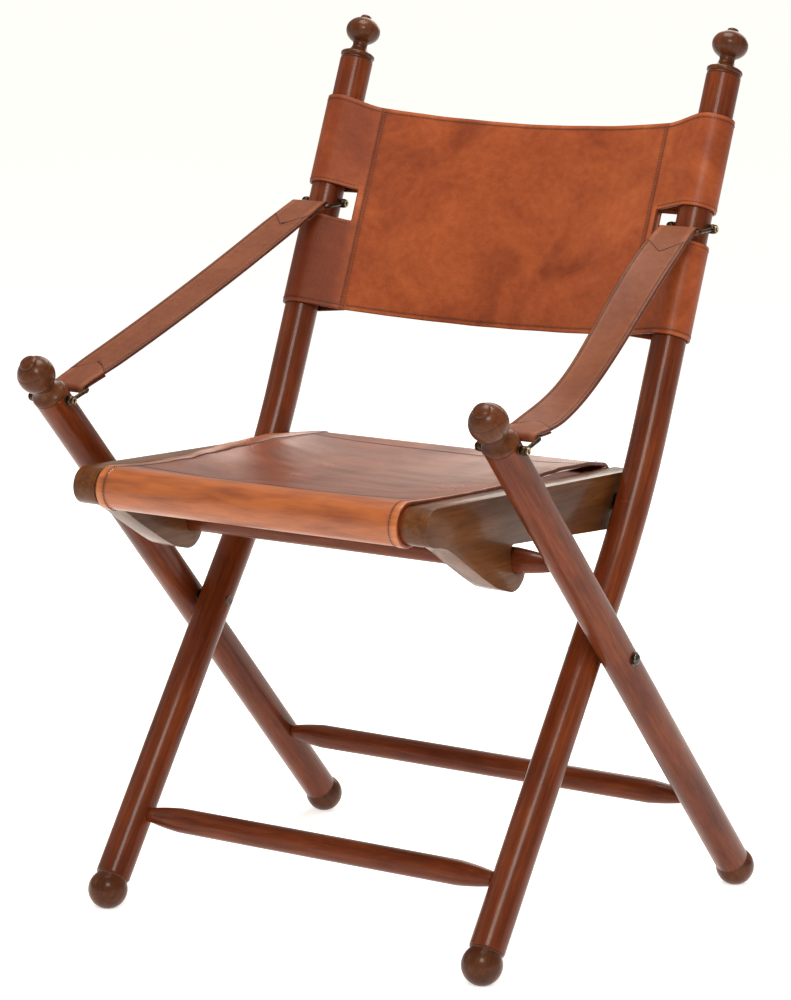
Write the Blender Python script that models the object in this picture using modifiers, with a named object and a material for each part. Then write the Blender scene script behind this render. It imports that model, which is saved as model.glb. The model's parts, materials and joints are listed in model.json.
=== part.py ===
"""Folding campaign armchair: turned wood frame, leather seat, back sling and arm straps.

Frame: +Z up, the sitter faces -Y, X = 0 is the plane of symmetry, the floor is Z = 0.
Two pairs of poles cross at a scissor bolt on each side. The inner pair (back poles) carries the
back sling. The outer pair (arm posts) carries the arm straps. The seat swings on the back poles
and its rails hook over a stretcher between the arm posts.
"""
import math

import bmesh
import bpy
from mathutils import Matrix, Vector

# Driving dimensions in metres. Points are (Y, Z) pairs in the side view.
GAP = 0.0003
POLE_R = 0.018
BACK_X = 0.2265
ARM_X = 0.2640
FRONT_FOOT = Vector((-0.1981, 0.0195))
BACK_BEND = Vector((0.0847, 0.4297))
BACK_FINIAL = Vector((0.2650, 0.8851))
REAR_FOOT = Vector((0.2558, 0.0195))
ARM_KNOB = Vector((-0.2636, 0.5588))
BEND_TANGENT = 0.09

FOOT_R = 0.0205
FOOT_NECK = 0.0150
FINIAL_DROP = 0.0340
KNOB_DROP = 0.0310
SPIGOT_R = 0.0050
SPIGOT_LENGTH = 0.018

STRETCHER_R = 0.0128
STRETCHER_END_R = 0.0072
STRETCHER_TAPER = 0.040
TENON_R = 0.0060
TENON_LENGTH = 0.012
FRONT_STRETCHER_AT = 0.173
REAR_STRETCHER_AT = 0.170
SEAT_STRETCHER_AT = 0.707

RAIL_OUTER_X = 0.2070
RAIL_THICK = 0.026
RAIL_FRONT = Vector((-0.2591, 0.4537))
RAIL_NOSE_R = 0.0188
RAIL_REAR = Vector((0.1190, 0.4305))
RAIL_REAR_R = 0.0288
SEAT_PIVOT_Z = 0.4315
NOTCH_LENGTH = 0.060
NOTCH_SLOPE = math.radians(-43)
REAR_BAR = Vector((0.1069, 0.4500))
FRONT_BAR_R = 0.0180
REAR_BAR_R = 0.0110

LEATHER = 0.0026
WRAP_GAP = 0.0008
SEAT_HALF_WIDTH = 0.1765
SEAT_SAG = 0.016
SLING_BOTTOM_Z = 0.592
SLING_TOP_Z = 0.811
SLING_SEAM = 0.050
SLING_SAG = 0.024
WINDOW_REACH = 0.042
WINDOW_HALF = 0.018

PIN_R = 0.0025
PIN_HEAD_R = 0.0046
ARM_PIN_DROP = 0.037
BACK_PIN_Z = 0.702
BAIL_WIRE_R = 0.0022
BAIL_EYE_R = 0.0050
BAIL_EYE_X = 0.0214
BAIL_EYE_THICK = 0.0046
BAIL_REACH = 0.030
ARM_BAIL_TILT = math.radians(16)
BACK_BAIL_TILT = math.radians(182)
STRAP_HALF_WIDTH = 0.0205
STRAP_TAIL = 0.028
STRAP_SAG = {"left": 0.005, "right": 0.020}

BOLT_R = 0.0030
BOLT_HOLE_R = 0.00312
BOLT_HEAD_R = 0.0058
BOLT_HEAD = 0.0038
WASHER = 0.0009
WASHER_R = 0.0075
BARREL_NUT_R = 0.0050
SLEEVE_NUT_R = 0.0060
SLEEVE_NUT_LENGTH = 0.0065
PLUG_R = 0.0070
PLUG_DEPTH = 0.0050

SIDES = {"left": -1, "right": 1}


# ---------------------------------------------------------------- scene, materials, placing
for old in list(bpy.data.objects):
    bpy.data.objects.remove(old, do_unlink=True)
chair = bpy.data.collections.new("campaign_chair")
cutters = bpy.data.collections.new("cutters")
bpy.context.scene.collection.children.link(chair)
bpy.context.scene.collection.children.link(cutters)


def material(name, colour, roughness, metallic=0.0):
    """A plain Principled finish."""
    made = bpy.data.materials.new(name)
    made.use_nodes = True
    shader = made.node_tree.nodes["Principled BSDF"]
    shader.inputs["Base Color"].default_value = (*colour, 1.0)
    shader.inputs["Roughness"].default_value = roughness
    shader.inputs["Metallic"].default_value = metallic
    return made


WOOD = material("stained_hardwood", (0.075, 0.022, 0.010), 0.35)
TAN_LEATHER = material("tan_leather", (0.320, 0.090, 0.030), 0.45)
STRAP_LEATHER = material("strap_leather", (0.230, 0.075, 0.035), 0.50)
BRONZE = material("dark_bronze", (0.060, 0.045, 0.035), 0.40, 1.0)
STEEL = material("dark_steel", (0.100, 0.095, 0.090), 0.35, 1.0)
PLUG_WOOD = material("plug_wood", (0.150, 0.035, 0.012), 0.40)


def at(x, point):
    """A (Y, Z) point of the side view, at the given X."""
    return Vector((x, point.x, point.y))


def lean(direction):
    """Rotation that takes +Z to a direction of the side view."""
    return Matrix.Rotation(-math.atan2(direction.x, direction.y), 4, "X")


def side_frame(x):
    """Rotation and place that takes the XY drawing plane to the side view at X."""
    return Matrix(((0, 0, 1, x), (1, 0, 0, 0), (0, 1, 0, 0), (0, 0, 0, 1)))


ALONG_X = Matrix.Rotation(math.radians(90), 4, "Y")
ALONG_Y = Matrix.Rotation(math.radians(-90), 4, "X")
# A drill is turned a little, so that its facets never lie in line with a pole's facets.
DRILL_TURN = Matrix.Rotation(math.radians(4), 4, "Z")


def axis_empty(name, location):
    """An empty on a joint's axis, the parent of what turns there."""
    empty = bpy.data.objects.new(name, None)
    empty.empty_display_size = 0.03
    empty.location = location
    chair.objects.link(empty)
    bpy.context.view_layer.update()
    return empty


def place(obj, matrix, finish, axis=None):
    """Link a part, put it in place, give it a finish and hang it on its axis."""
    chair.objects.link(obj)
    obj.matrix_world = matrix
    obj.data.materials.append(finish)
    if axis is not None:
        obj.parent = axis
        obj.matrix_parent_inverse = axis.matrix_world.inverted()
    return obj


# ---------------------------------------------------------------- shapes
def turned(name, profile, matrix, finish, axis=None, steps=14):
    """A turned piece: (radius, height) points down the outer side, from pole to pole."""
    mesh = bpy.data.meshes.new(name)
    points = [(radius, 0.0, height) for radius, height in profile]
    edges = [(i, i + 1) for i in range(len(points) - 1)]
    mesh.from_pydata(points, edges, [])
    obj = bpy.data.objects.new(name, mesh)
    screw = obj.modifiers.new("turn", "SCREW")
    screw.steps = steps
    screw.render_steps = steps
    screw.use_merge_vertices = True
    screw.merge_threshold = 0.00001
    screw.use_smooth_shade = True
    return place(obj, matrix, finish, axis)


def as_mesh(curve_object, name):
    """The evaluated curve as a welded mesh object, in place of the curve."""
    graph = bpy.context.evaluated_depsgraph_get()
    mesh = bpy.data.meshes.new_from_object(curve_object.evaluated_get(graph))
    work = bmesh.new()
    work.from_mesh(mesh)
    bmesh.ops.remove_doubles(work, verts=work.verts, dist=0.000001)
    work.to_mesh(mesh)
    work.free()
    obj = bpy.data.objects.new(name, mesh)
    obj.matrix_world = curve_object.matrix_world
    bpy.data.objects.remove(curve_object)
    return obj


def spline(name, points, dimensions, cyclic=False):
    """A curve object with one poly spline."""
    curve = bpy.data.curves.new(name, "CURVE")
    curve.dimensions = dimensions
    line = curve.splines.new("POLY")
    line.points.add(len(points) - 1)
    for target, point in zip(line.points, points):
        target.co = (*point, 1.0) if len(point) == 3 else (*point, 0.0, 1.0)
    line.use_cyclic_u = cyclic
    obj = bpy.data.objects.new(name + "_curve", curve)
    bpy.context.scene.collection.objects.link(obj)
    return obj


def tube(name, points, radius, resolution, finish, axis=None):
    """A round bar along points in world space, with closed ends."""
    obj = spline(name, points, "3D")
    obj.data.bevel_depth = radius
    obj.data.bevel_resolution = resolution
    obj.data.use_fill_caps = True
    solid = as_mesh(obj, name)
    solid.data.shade_smooth()
    solid.data.set_sharp_from_angle(angle=math.radians(50))
    return place(solid, Matrix.Identity(4), finish, axis)


def plate(name, outline, thickness, matrix, finish, axis=None):
    """A flat piece cut to an outline in the XY plane, centred on its thickness."""
    obj = spline(name, outline, "2D", cyclic=True)
    obj.data.fill_mode = "BOTH"
    obj.data.extrude = thickness / 2
    return place(as_mesh(obj, name), matrix, finish, axis)


def ribbon(name, path, half_width, matrix, finish, axis=None):
    """A leather strip: a path in the XY plane, drawn out sideways and given its thickness."""
    obj = spline(name, path, "2D")
    obj.data.fill_mode = "NONE"
    obj.data.extrude = half_width
    solid = as_mesh(obj, name)
    thickness = solid.modifiers.new("thickness", "SOLIDIFY")
    thickness.thickness = LEATHER
    thickness.offset = 0.0
    thickness.use_even_offset = True
    return place(solid, matrix, finish, axis)


def cutter(name, mesh, matrix):
    """A hidden shape for a Boolean."""
    obj = bpy.data.objects.new(name, mesh)
    obj.matrix_world = matrix
    obj.display_type = "WIRE"
    obj.hide_render = True
    cutters.objects.link(obj)
    return obj


def cylinder_mesh(name, radius, length, segments=24):
    """A closed cylinder along Z, centred."""
    mesh = bpy.data.meshes.new(name)
    work = bmesh.new()
    bmesh.ops.create_cone(
        work, cap_ends=True, segments=segments, radius1=radius, radius2=radius, depth=length
    )
    work.to_mesh(mesh)
    work.free()
    return mesh


def boolean(obj, tool, operation="DIFFERENCE"):
    """Cut a piece with a tool, or join the tool to it."""
    step = obj.modifiers.new(tool.name, "BOOLEAN")
    step.operation = operation
    step.solver = "EXACT"
    step.object = tool


def drill(obj, centre, direction, radius, length, segments=24):
    """A round hole through centre, along a rotation's Z."""
    name = f"{obj.name}_hole_{len(obj.modifiers)}"
    mesh = cylinder_mesh(name, radius, length, segments)
    boolean(obj, cutter(name, mesh, Matrix.Translation(centre) @ direction @ DRILL_TURN))


def cylinder(name, radius, length, matrix, finish, axis=None, segments=24):
    """A plain round piece, centred on its length."""
    obj = bpy.data.objects.new(name, cylinder_mesh(name, radius, length, segments))
    return place(obj, matrix, finish, axis)


def washer(name, centre, radius, hole, finish, axis=None, segments=24):
    """A thin flat ring on the X axis, turned from its section."""
    half = WASHER / 2
    turn = Matrix.Translation(centre) @ ALONG_X
    obj = cylinder(name, radius, 2 * half, turn, finish, axis, segments)
    drill(obj, centre, ALONG_X, hole, 4 * half, segments)
    return obj


def arc(centre, radius, start, end, count):
    """Points along an arc in a drawing plane; angles in degrees."""
    turn = [math.radians(start + (end - start) * i / (count - 1)) for i in range(count)]
    return [centre + radius * Vector((math.cos(a), math.sin(a))) for a in turn]


# ---------------------------------------------------------------- the side view
LOWER = (BACK_BEND - FRONT_FOOT).normalized()
UPPER = (BACK_FINIAL - BACK_BEND).normalized()
ARM = (ARM_KNOB - REAR_FOOT).normalized()


def crossing(a, along_a, b, along_b):
    """Where two lines of the side view cross."""
    across = along_a.x * along_b.y - along_a.y * along_b.x
    offset = b - a
    return a + along_a * ((offset.x * along_b.y - offset.y * along_b.x) / across)


SCISSOR = crossing(FRONT_FOOT, LOWER, REAR_FOOT, ARM)
SEAT_STRETCHER = REAR_FOOT.lerp(ARM_KNOB, SEAT_STRETCHER_AT)
REAR_STRETCHER = REAR_FOOT.lerp(ARM_KNOB, REAR_STRETCHER_AT)
FRONT_STRETCHER = FRONT_FOOT.lerp(BACK_BEND, FRONT_STRETCHER_AT)
ARM_PIN = ARM_KNOB - ARM * ARM_PIN_DROP


def back_pole_line():
    """The back pole's centre line: straight, a wide bend near the seat, straight."""
    start = BACK_BEND - LOWER * BEND_TANGENT
    turn = math.acos(LOWER.dot(UPPER))
    radius = BEND_TANGENT / math.tan(turn / 2)
    centre = start + radius * Vector((-LOWER.y, LOWER.x))
    first = math.degrees(math.atan2(-LOWER.x, LOWER.y))
    bend = arc(centre, radius, first, first + math.degrees(turn), 9)
    return [FRONT_FOOT + LOWER * FOOT_NECK, *bend, BACK_FINIAL - UPPER * (FINIAL_DROP + GAP)]


def on_back_pole(height):
    """The point of the back pole's centre line at a height."""
    line = back_pole_line()
    for low, high in zip(line, line[1:]):
        if low.y <= height <= high.y:
            return low.lerp(high, (height - low.y) / (high.y - low.y))
    raise ValueError("the height is off the pole")


SEAT_PIVOT = on_back_pole(SEAT_PIVOT_Z)
BACK_PIN = on_back_pole(BACK_PIN_Z)

fold_axis = axis_empty("fold_axis", at(0.0, SCISSOR))
seat_axis = axis_empty("seat_axis", at(0.0, SEAT_PIVOT))


# ---------------------------------------------------------------- turned wood
def ball(radius, height, start, end, count):
    """Profile points down a ball's side between two angles from its top, in degrees."""
    turn = [math.radians(start + (end - start) * i / (count - 1)) for i in range(count)]
    return [(radius * math.sin(a), height * math.cos(a)) for a in turn]


def spigot(shoulder_height):
    """The dowel under a turned end, which is glued into the pole."""
    foot = shoulder_height - SPIGOT_LENGTH
    return [(SPIGOT_R, shoulder_height), (SPIGOT_R, foot), (0.0, foot)]


def finial(side, x):
    """A flattened ball with a small button, on a thin neck and a lipped collar."""
    profile = [(0.0, 0.0183), (0.0040, 0.0172), (0.0055, 0.0145), (0.0050, 0.0136)]
    profile += ball(0.0180, 0.0140, 26, 152, 7)
    profile += [(0.0078, -0.0180), (0.0105, -0.0228), (0.0165, -0.0256), (0.0188, -0.0285)]
    profile += [(0.0176, -0.0315), (0.0178, -FINIAL_DROP)]
    profile += spigot(-FINIAL_DROP)
    place_at = Matrix.Translation(at(x, BACK_FINIAL)) @ lean(UPPER)
    return turned(f"{side}_back_finial", profile, place_at, WOOD)


def knob(side, x):
    """A ball with a low button, on a bell that flares to the post."""
    profile = [(0.0, 0.0212), (0.0055, 0.0203), (0.0080, 0.0183), (0.0078, 0.0172)]
    profile += ball(0.01925, 0.01925, 27, 148, 7)
    profile += [(0.0105, -0.0190), (0.0140, -0.0235), (0.0178, -0.0275), (0.0184, -0.0300)]
    profile += [(0.0180, -KNOB_DROP)]
    profile += spigot(-KNOB_DROP)
    place_at = Matrix.Translation(at(x, ARM_KNOB)) @ lean(ARM)
    obj = turned(f"{side}_arm_knob", profile, place_at, WOOD, fold_axis)
    drill(obj, at(x, ARM_PIN), ALONG_X, PIN_R + GAP, 0.02)
    return obj


def foot(name, x, point, direction, axis=None):
    """A ball foot with a grooved neck, cut flat where it stands."""
    profile = [(0.0, FOOT_NECK - GAP + SPIGOT_LENGTH), (SPIGOT_R, FOOT_NECK - GAP + SPIGOT_LENGTH)]
    profile += [(SPIGOT_R, FOOT_NECK - GAP), (0.0172, FOOT_NECK - GAP), (0.0168, 0.0128)]
    profile += ball(FOOT_R, FOOT_R, 57, 180, 7)
    place_at = Matrix.Translation(at(x, point)) @ lean(direction)
    obj = turned(name, profile, place_at, WOOD, axis)
    floor = cylinder_mesh(f"{name}_floor", 0.04, 0.04, 8)
    below = Vector((x, point.x, -0.02))
    boolean(obj, cutter(f"{name}_floor", floor, Matrix.Translation(below)))
    return obj


def stretcher(name, point, post_x, axis=None):
    """A turned rung, tapered at both ends, with a tenon in each pole."""
    shoulder = post_x - POLE_R - GAP
    taper = shoulder - STRETCHER_TAPER
    tip = shoulder + TENON_LENGTH
    half = [(0.0, tip), (TENON_R, tip), (TENON_R, shoulder), (STRETCHER_END_R, shoulder)]
    half += [(0.0112, taper + 0.012), (STRETCHER_R, taper)]
    profile = half + [(radius, -height) for radius, height in reversed(half)]
    place_at = Matrix.Translation(at(0.0, point)) @ ALONG_X
    return turned(name, profile, place_at, WOOD, axis, steps=14)


def back_pole(side, x):
    """The inner pole, from the front foot up past the back sling."""
    points = [at(x, point) for point in back_pole_line()]
    obj = tube(f"{side}_back_pole", points, POLE_R, 6, WOOD)
    drill(obj, points[0], lean(LOWER), SPIGOT_R + GAP, 2 * SPIGOT_LENGTH + 0.002, 16)
    drill(obj, points[-1], lean(UPPER), SPIGOT_R + GAP, 2 * SPIGOT_LENGTH + 0.002, 16)
    drill(obj, at(x, SCISSOR), ALONG_X, BOLT_HOLE_R, 0.05)
    drill(obj, at(x, BACK_PIN), ALONG_X, PIN_R + GAP, 0.05, 12)
    inner = x - math.copysign(POLE_R, x)
    tenon = TENON_LENGTH + GAP
    nut_pocket = SLEEVE_NUT_LENGTH + GAP
    drill(obj, at(inner, SCISSOR), ALONG_X, SLEEVE_NUT_R + GAP, 2 * nut_pocket, 20)
    drill(obj, at(inner, FRONT_STRETCHER), ALONG_X, TENON_R + GAP, 2 * tenon, 14)
    drill(obj, at(inner, SEAT_PIVOT), ALONG_X, BOLT_R + GAP, 2 * (POLE_R + 0.007), 16)
    front = at(x, SEAT_PIVOT) - Vector((0.0, POLE_R, 0.0))
    nut_end = POLE_R + 0.009
    drill(obj, front, ALONG_Y, BARREL_NUT_R + GAP, 2 * nut_end, 16)
    drill(obj, front, ALONG_Y, PLUG_R + GAP, 2 * PLUG_DEPTH, 16)
    return obj


def arm_post(side, x):
    """The outer pole, straight from the rear foot up to the arm knob."""
    length = (ARM_KNOB - REAR_FOOT).length - FOOT_NECK - KNOB_DROP - GAP
    profile = [(0.0, length), (POLE_R, length), (POLE_R, 0.0), (0.0, 0.0)]
    start = REAR_FOOT + ARM * FOOT_NECK
    end = start + ARM * length
    place_at = Matrix.Translation(at(x, start)) @ lean(ARM)
    obj = turned(f"{side}_arm_post", profile, place_at, WOOD, fold_axis)
    drill(obj, at(x, start), lean(ARM), SPIGOT_R + GAP, 2 * SPIGOT_LENGTH + 0.002, 16)
    drill(obj, at(x, end), lean(ARM), SPIGOT_R + GAP, 2 * SPIGOT_LENGTH + 0.002, 16)
    drill(obj, at(x, SCISSOR), ALONG_X, BOLT_HOLE_R, 0.05)
    drill(obj, at(x, ARM_PIN), ALONG_X, PIN_R + GAP, 0.05, 12)
    inner = x - math.copysign(POLE_R, x)
    for point in (REAR_STRETCHER, SEAT_STRETCHER):
        drill(obj, at(inner, point), ALONG_X, TENON_R + GAP, 2 * (TENON_LENGTH + GAP), 14)
    return obj


for side, sign in SIDES.items():
    back_pole(side, sign * BACK_X)
    finial(side, sign * BACK_X)
    foot(f"{side}_front_foot", sign * BACK_X, FRONT_FOOT, LOWER)
    arm_post(side, sign * ARM_X)
    knob(side, sign * ARM_X)
    foot(f"{side}_rear_foot", sign * ARM_X, REAR_FOOT, ARM, fold_axis)

stretcher("front_stretcher", FRONT_STRETCHER, BACK_X)
stretcher("rear_stretcher", REAR_STRETCHER, ARM_X, fold_axis)
stretcher("seat_stretcher", SEAT_STRETCHER, ARM_X, fold_axis)


# ---------------------------------------------------------------- seat frame
def rail_outline():
    """A rail with a round nose, a round tail and a hook under its front half."""
    hook_low = SEAT_STRETCHER + Vector((-0.0170, -0.0110))
    hook_tip = SEAT_STRETCHER + Vector((0.0070, -0.0170))
    outline = arc(RAIL_FRONT, RAIL_NOSE_R, 90, 250, 7)
    outline += [RAIL_FRONT + Vector((0.0149, -0.0219)), RAIL_FRONT + Vector((0.0520, -0.0408))]
    outline += [RAIL_FRONT + Vector((0.0900, -0.0635))]
    outline += arc(hook_low, 0.0168, 232, 280, 3)
    outline += arc(hook_tip, 0.0104, -88, 70, 5)
    outline += [SEAT_STRETCHER + Vector((0.0160, 0.0135))]
    outline += arc(RAIL_REAR, RAIL_REAR_R, -95, 90, 9)
    return outline


def rail(side, sign):
    """A seat rail. The hook's mouth follows the stretcher's way out as the seat lifts."""
    middle = sign * (RAIL_OUTER_X - RAIL_THICK / 2)
    obj = plate(
        f"{side}_seat_rail", rail_outline(), RAIL_THICK, side_frame(middle), WOOD, seat_axis
    )
    way_out = Vector((math.cos(NOTCH_SLOPE), math.sin(NOTCH_SLOPE)))
    mouth_r = STRETCHER_R + GAP
    turn = math.degrees(NOTCH_SLOPE)
    slot_outline = arc(SEAT_STRETCHER, mouth_r, turn + 90, turn + 270, 9)
    slot_outline += arc(SEAT_STRETCHER + NOTCH_LENGTH * way_out, mouth_r, turn - 90, turn + 90, 5)
    slot = spline(f"{side}_notch", slot_outline, "2D", cyclic=True)
    slot.data.fill_mode = "BOTH"
    slot.data.extrude = RAIL_THICK
    slot_mesh = as_mesh(slot, f"{side}_notch")
    boolean(obj, cutter(f"{side}_notch_tool", slot_mesh.data, side_frame(middle)))
    bpy.data.objects.remove(slot_mesh)
    drill(obj, at(middle, SEAT_PIVOT), ALONG_X, BOLT_HOLE_R, 0.05)
    inner = sign * (RAIL_OUTER_X - RAIL_THICK)
    drill(obj, at(inner, RAIL_FRONT), ALONG_X, 0.5 * FRONT_BAR_R + GAP, 0.0306, 16)
    drill(obj, at(inner, REAR_BAR), ALONG_X, 0.5 * REAR_BAR_R + GAP, 0.0306, 12)
    return obj


def seat_bar(name, point, radius, steps):
    """A round bar between the rails, with a tenon of half its radius at each end."""
    shoulder = RAIL_OUTER_X - RAIL_THICK - GAP
    tip = shoulder + 0.015
    half = [(0.0, tip), (0.5 * radius, tip), (0.5 * radius, shoulder), (radius, shoulder)]
    profile = half + [(r, -height) for r, height in reversed(half)]
    return turned(name, profile, Matrix.Translation(at(0.0, point)) @ ALONG_X, WOOD, seat_axis, steps)


def seat_path():
    """Side view of the seat leather: round the front bar, back with a sag, round the rear bar."""
    front_r = FRONT_BAR_R + WRAP_GAP + LEATHER / 2
    rear_r = REAR_BAR_R + WRAP_GAP + LEATHER / 2
    start = RAIL_FRONT + Vector((0.0, front_r))
    end = REAR_BAR + Vector((0.0, rear_r))
    front_tail = RAIL_FRONT + Vector((0.0330, front_r - LEATHER - 0.0036))
    rear_tail = REAR_BAR + Vector((-0.0240, rear_r - LEATHER - 0.0034))
    path = [front_tail, *arc(RAIL_FRONT, front_r, -36, -264, 12)]
    for i in range(1, 11):
        share = i / 11
        path.append(start.lerp(end, share) - Vector((0.0, 4 * SEAT_SAG * share * (1 - share))))
    return path + [*arc(REAR_BAR, rear_r, 96, -136, 10), rear_tail]


for side, sign in SIDES.items():
    rail(side, sign)
seat_bar("front_seat_bar", RAIL_FRONT, FRONT_BAR_R, 20)
seat_bar("rear_seat_bar", REAR_BAR, REAR_BAR_R, 16)
ribbon("seat_leather", seat_path(), SEAT_HALF_WIDTH, side_frame(0.0), TAN_LEATHER, seat_axis)


# ---------------------------------------------------------------- back sling
def sling_path():
    """Plan of the sling: round the left pole, across with a sag, round the right pole."""
    ring_r = POLE_R + WRAP_GAP + LEATHER / 2
    tangent = math.degrees(math.acos(ring_r / SLING_SEAM))
    pole = Vector((-BACK_X, 0.0))
    seam = pole + Vector((SLING_SEAM, -0.0010))
    half = [seam + Vector((0.002, LEATHER + 0.0008)), *arc(pole, ring_r, tangent, 360 - tangent, 11)]
    reach = -seam.x
    for i in range(6):
        x = reach * (1 - i / 6)
        half.append(Vector((-x, seam.y + SLING_SAG * (1 - (x / reach) ** 2))))
    mirrored = [Vector((-point.x, point.y)) for point in reversed(half)]
    return half + [Vector((0.0, seam.y + SLING_SAG))] + mirrored


def back_sling():
    """The sling, leaning with the upper poles, with a window over each strap pin."""
    low = on_back_pole(SLING_BOTTOM_Z)
    high = on_back_pole(SLING_TOP_Z)
    middle = low.lerp(high, 0.5)
    frame = Matrix.Translation(at(0.0, middle)) @ lean(UPPER)
    obj = ribbon("back_leather", sling_path(), (high - low).length / 2, frame, TAN_LEATHER)
    for side, sign in SIDES.items():
        mesh = bpy.data.meshes.new(f"{side}_window")
        work = bmesh.new()
        bmesh.ops.create_cube(work, size=1.0)
        width = WINDOW_REACH + 0.04
        bmesh.ops.scale(work, verts=work.verts, vec=(width, 0.08, 2 * WINDOW_HALF))
        work.to_mesh(mesh)
        work.free()
        x = sign * (BACK_X - WINDOW_REACH + width / 2)
        window = Matrix.Translation(at(x, BACK_PIN)) @ lean(UPPER)
        boolean(obj, cutter(f"{side}_window", mesh, window))
    return obj


back_sling()


# ---------------------------------------------------------------- pins, bails and arm straps
def pin(name, x, point, axis=None):
    """A pin through a pole, riveted over at both ends."""
    eye_end = BAIL_EYE_X + BAIL_EYE_THICK + GAP
    tip = eye_end + 0.0022
    half = [(0.0, tip), (0.0034, tip - 0.0005), (PIN_HEAD_R, eye_end + 0.0006)]
    half += [(PIN_HEAD_R, eye_end), (PIN_R, eye_end)]
    profile = half + [(r, -height) for r, height in reversed(half)]
    return turned(name, profile, Matrix.Translation(at(x, point)) @ ALONG_X, BRONZE, axis, 12)


def bail(name, x, point, tilt, axis):
    """A wire bail: two eyes on the pin, two legs and the bar that the strap hangs on."""
    leg = BAIL_EYE_X + BAIL_EYE_THICK / 2
    out = Vector((math.cos(tilt), math.sin(tilt)))
    centre = at(x, point)
    side_view = [(-1, 0.0), (-1, 0.93), (-0.93, 1.0), (0.93, 1.0), (1, 0.93), (1, 0.0)]
    points = [centre + at(across * leg, out * (reach * BAIL_REACH)) for across, reach in side_view]
    obj = tube(name, points, BAIL_WIRE_R, 2, BRONZE, axis)
    for across in (-1, 1):
        eye = centre + Vector((across * leg, 0.0, 0.0))
        mesh = cylinder_mesh(f"{name}_eye", BAIL_EYE_R, BAIL_EYE_THICK, 12)
        tool = cutter(f"{name}_eye_{across + 1}", mesh, Matrix.Translation(eye) @ ALONG_X)
        boolean(obj, tool, "UNION")
    drill(obj, centre, ALONG_X, PIN_R + 0.00016, 0.08, 16)
    return obj


def strap(side, sign):
    """An arm strap looped over two bails, from the back pole out to the wider arm post."""
    loop_r = BAIL_WIRE_R + 0.0005 + LEATHER / 2
    rear = BACK_PIN + BAIL_REACH * Vector((math.cos(BACK_BAIL_TILT), math.sin(BACK_BAIL_TILT)))
    front = ARM_PIN + BAIL_REACH * Vector((math.cos(ARM_BAIL_TILT), math.sin(ARM_BAIL_TILT)))
    along = (front - rear).normalized()
    up = Vector((along.y, -along.x))
    top = math.degrees(math.atan2(up.y, up.x))
    tail = up * (loop_r - LEATHER - 0.0008)
    start = rear + up * loop_r
    end = front + up * loop_r
    path = [rear + along * STRAP_TAIL + tail, *arc(rear, loop_r, top - 215, top, 6)]
    for i in range(1, 9):
        share = i / 9
        path.append(start.lerp(end, share) - Vector((0.0, 4 * STRAP_SAG[side] * share * (1 - share))))
    path += [*arc(front, loop_r, top, top + 215, 6), front - along * STRAP_TAIL + tail]
    name = f"{side}_arm_strap"
    obj = ribbon(name, path, STRAP_HALF_WIDTH, side_frame(0.0), STRAP_LEATHER)
    for vertex in obj.data.vertices:
        share = (vertex.co.x - rear.x) / (front.x - rear.x)
        vertex.co.z += sign * (BACK_X + (ARM_X - BACK_X) * share)
    return obj


for side, sign in SIDES.items():
    for end, x, point, tilt, axis in (
        ("back", sign * BACK_X, BACK_PIN, BACK_BAIL_TILT, None),
        ("arm", sign * ARM_X, ARM_PIN, ARM_BAIL_TILT, fold_axis),
    ):
        swing = axis_empty(f"{side}_{end}_bail_axis", at(x, point))
        if axis is not None:
            swing.parent = axis
            swing.matrix_parent_inverse = axis.matrix_world.inverted()
        pin(f"{side}_{end}_pin", x, point, axis)
        bail(f"{side}_{end}_bail", x, point, tilt, swing)
        for place_name, across in (("inner", -sign), ("outer", sign)):
            centre = at(x + across * 0.5 * (POLE_R + BAIL_EYE_X), point)
            name = f"{side}_{end}_pin_{place_name}_washer"
            washer(name, centre, BAIL_EYE_R, PIN_R + GAP, BRONZE, axis, 12)
    strap(side, sign)


# ---------------------------------------------------------------- bolts
def bolt(name, head_x, tip_x, point, finish, axis=None):
    """A round-headed bolt along X, from its head's underside to its tip."""
    length = abs(head_x - tip_x)
    profile = [(0.0, BOLT_HEAD), (0.0035, 0.92 * BOLT_HEAD), (0.0052, 0.6 * BOLT_HEAD)]
    profile += [(BOLT_HEAD_R, 0.0), (BOLT_R, 0.0), (BOLT_R, -length), (0.0, -length)]
    outward = 90 if head_x > tip_x else -90
    turn = Matrix.Rotation(math.radians(outward), 4, "Y")
    return turned(name, profile, Matrix.Translation(at(head_x, point)) @ turn, finish, axis, 24)


def scissor(side, sign):
    """The bolt that the two poles turn on, and the round nut let in flush with the inner pole."""
    outer = ARM_X + POLE_R + GAP
    inner = BACK_X - POLE_R
    centre = at(sign * (outer + WASHER / 2), SCISSOR)
    washer(f"{side}_scissor_washer", centre, WASHER_R, BOLT_HOLE_R, STEEL, fold_axis)
    between = at(sign * 0.5 * (ARM_X + BACK_X), SCISSOR)
    washer(f"{side}_scissor_spacer", between, 0.0090, BOLT_HOLE_R, STEEL)
    head = sign * (outer + WASHER + GAP)
    bolt(f"{side}_scissor_bolt", head, sign * (inner + 0.0005), SCISSOR, STEEL, fold_axis)
    nut_at = at(sign * (inner + SLEEVE_NUT_LENGTH / 2), SCISSOR)
    turn = Matrix.Translation(nut_at) @ ALONG_X
    nut = cylinder(f"{side}_scissor_nut", SLEEVE_NUT_R, SLEEVE_NUT_LENGTH, turn, STEEL, None, 20)
    drill(nut, nut_at, ALONG_X, BOLT_HOLE_R, 2 * SLEEVE_NUT_LENGTH)


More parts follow.
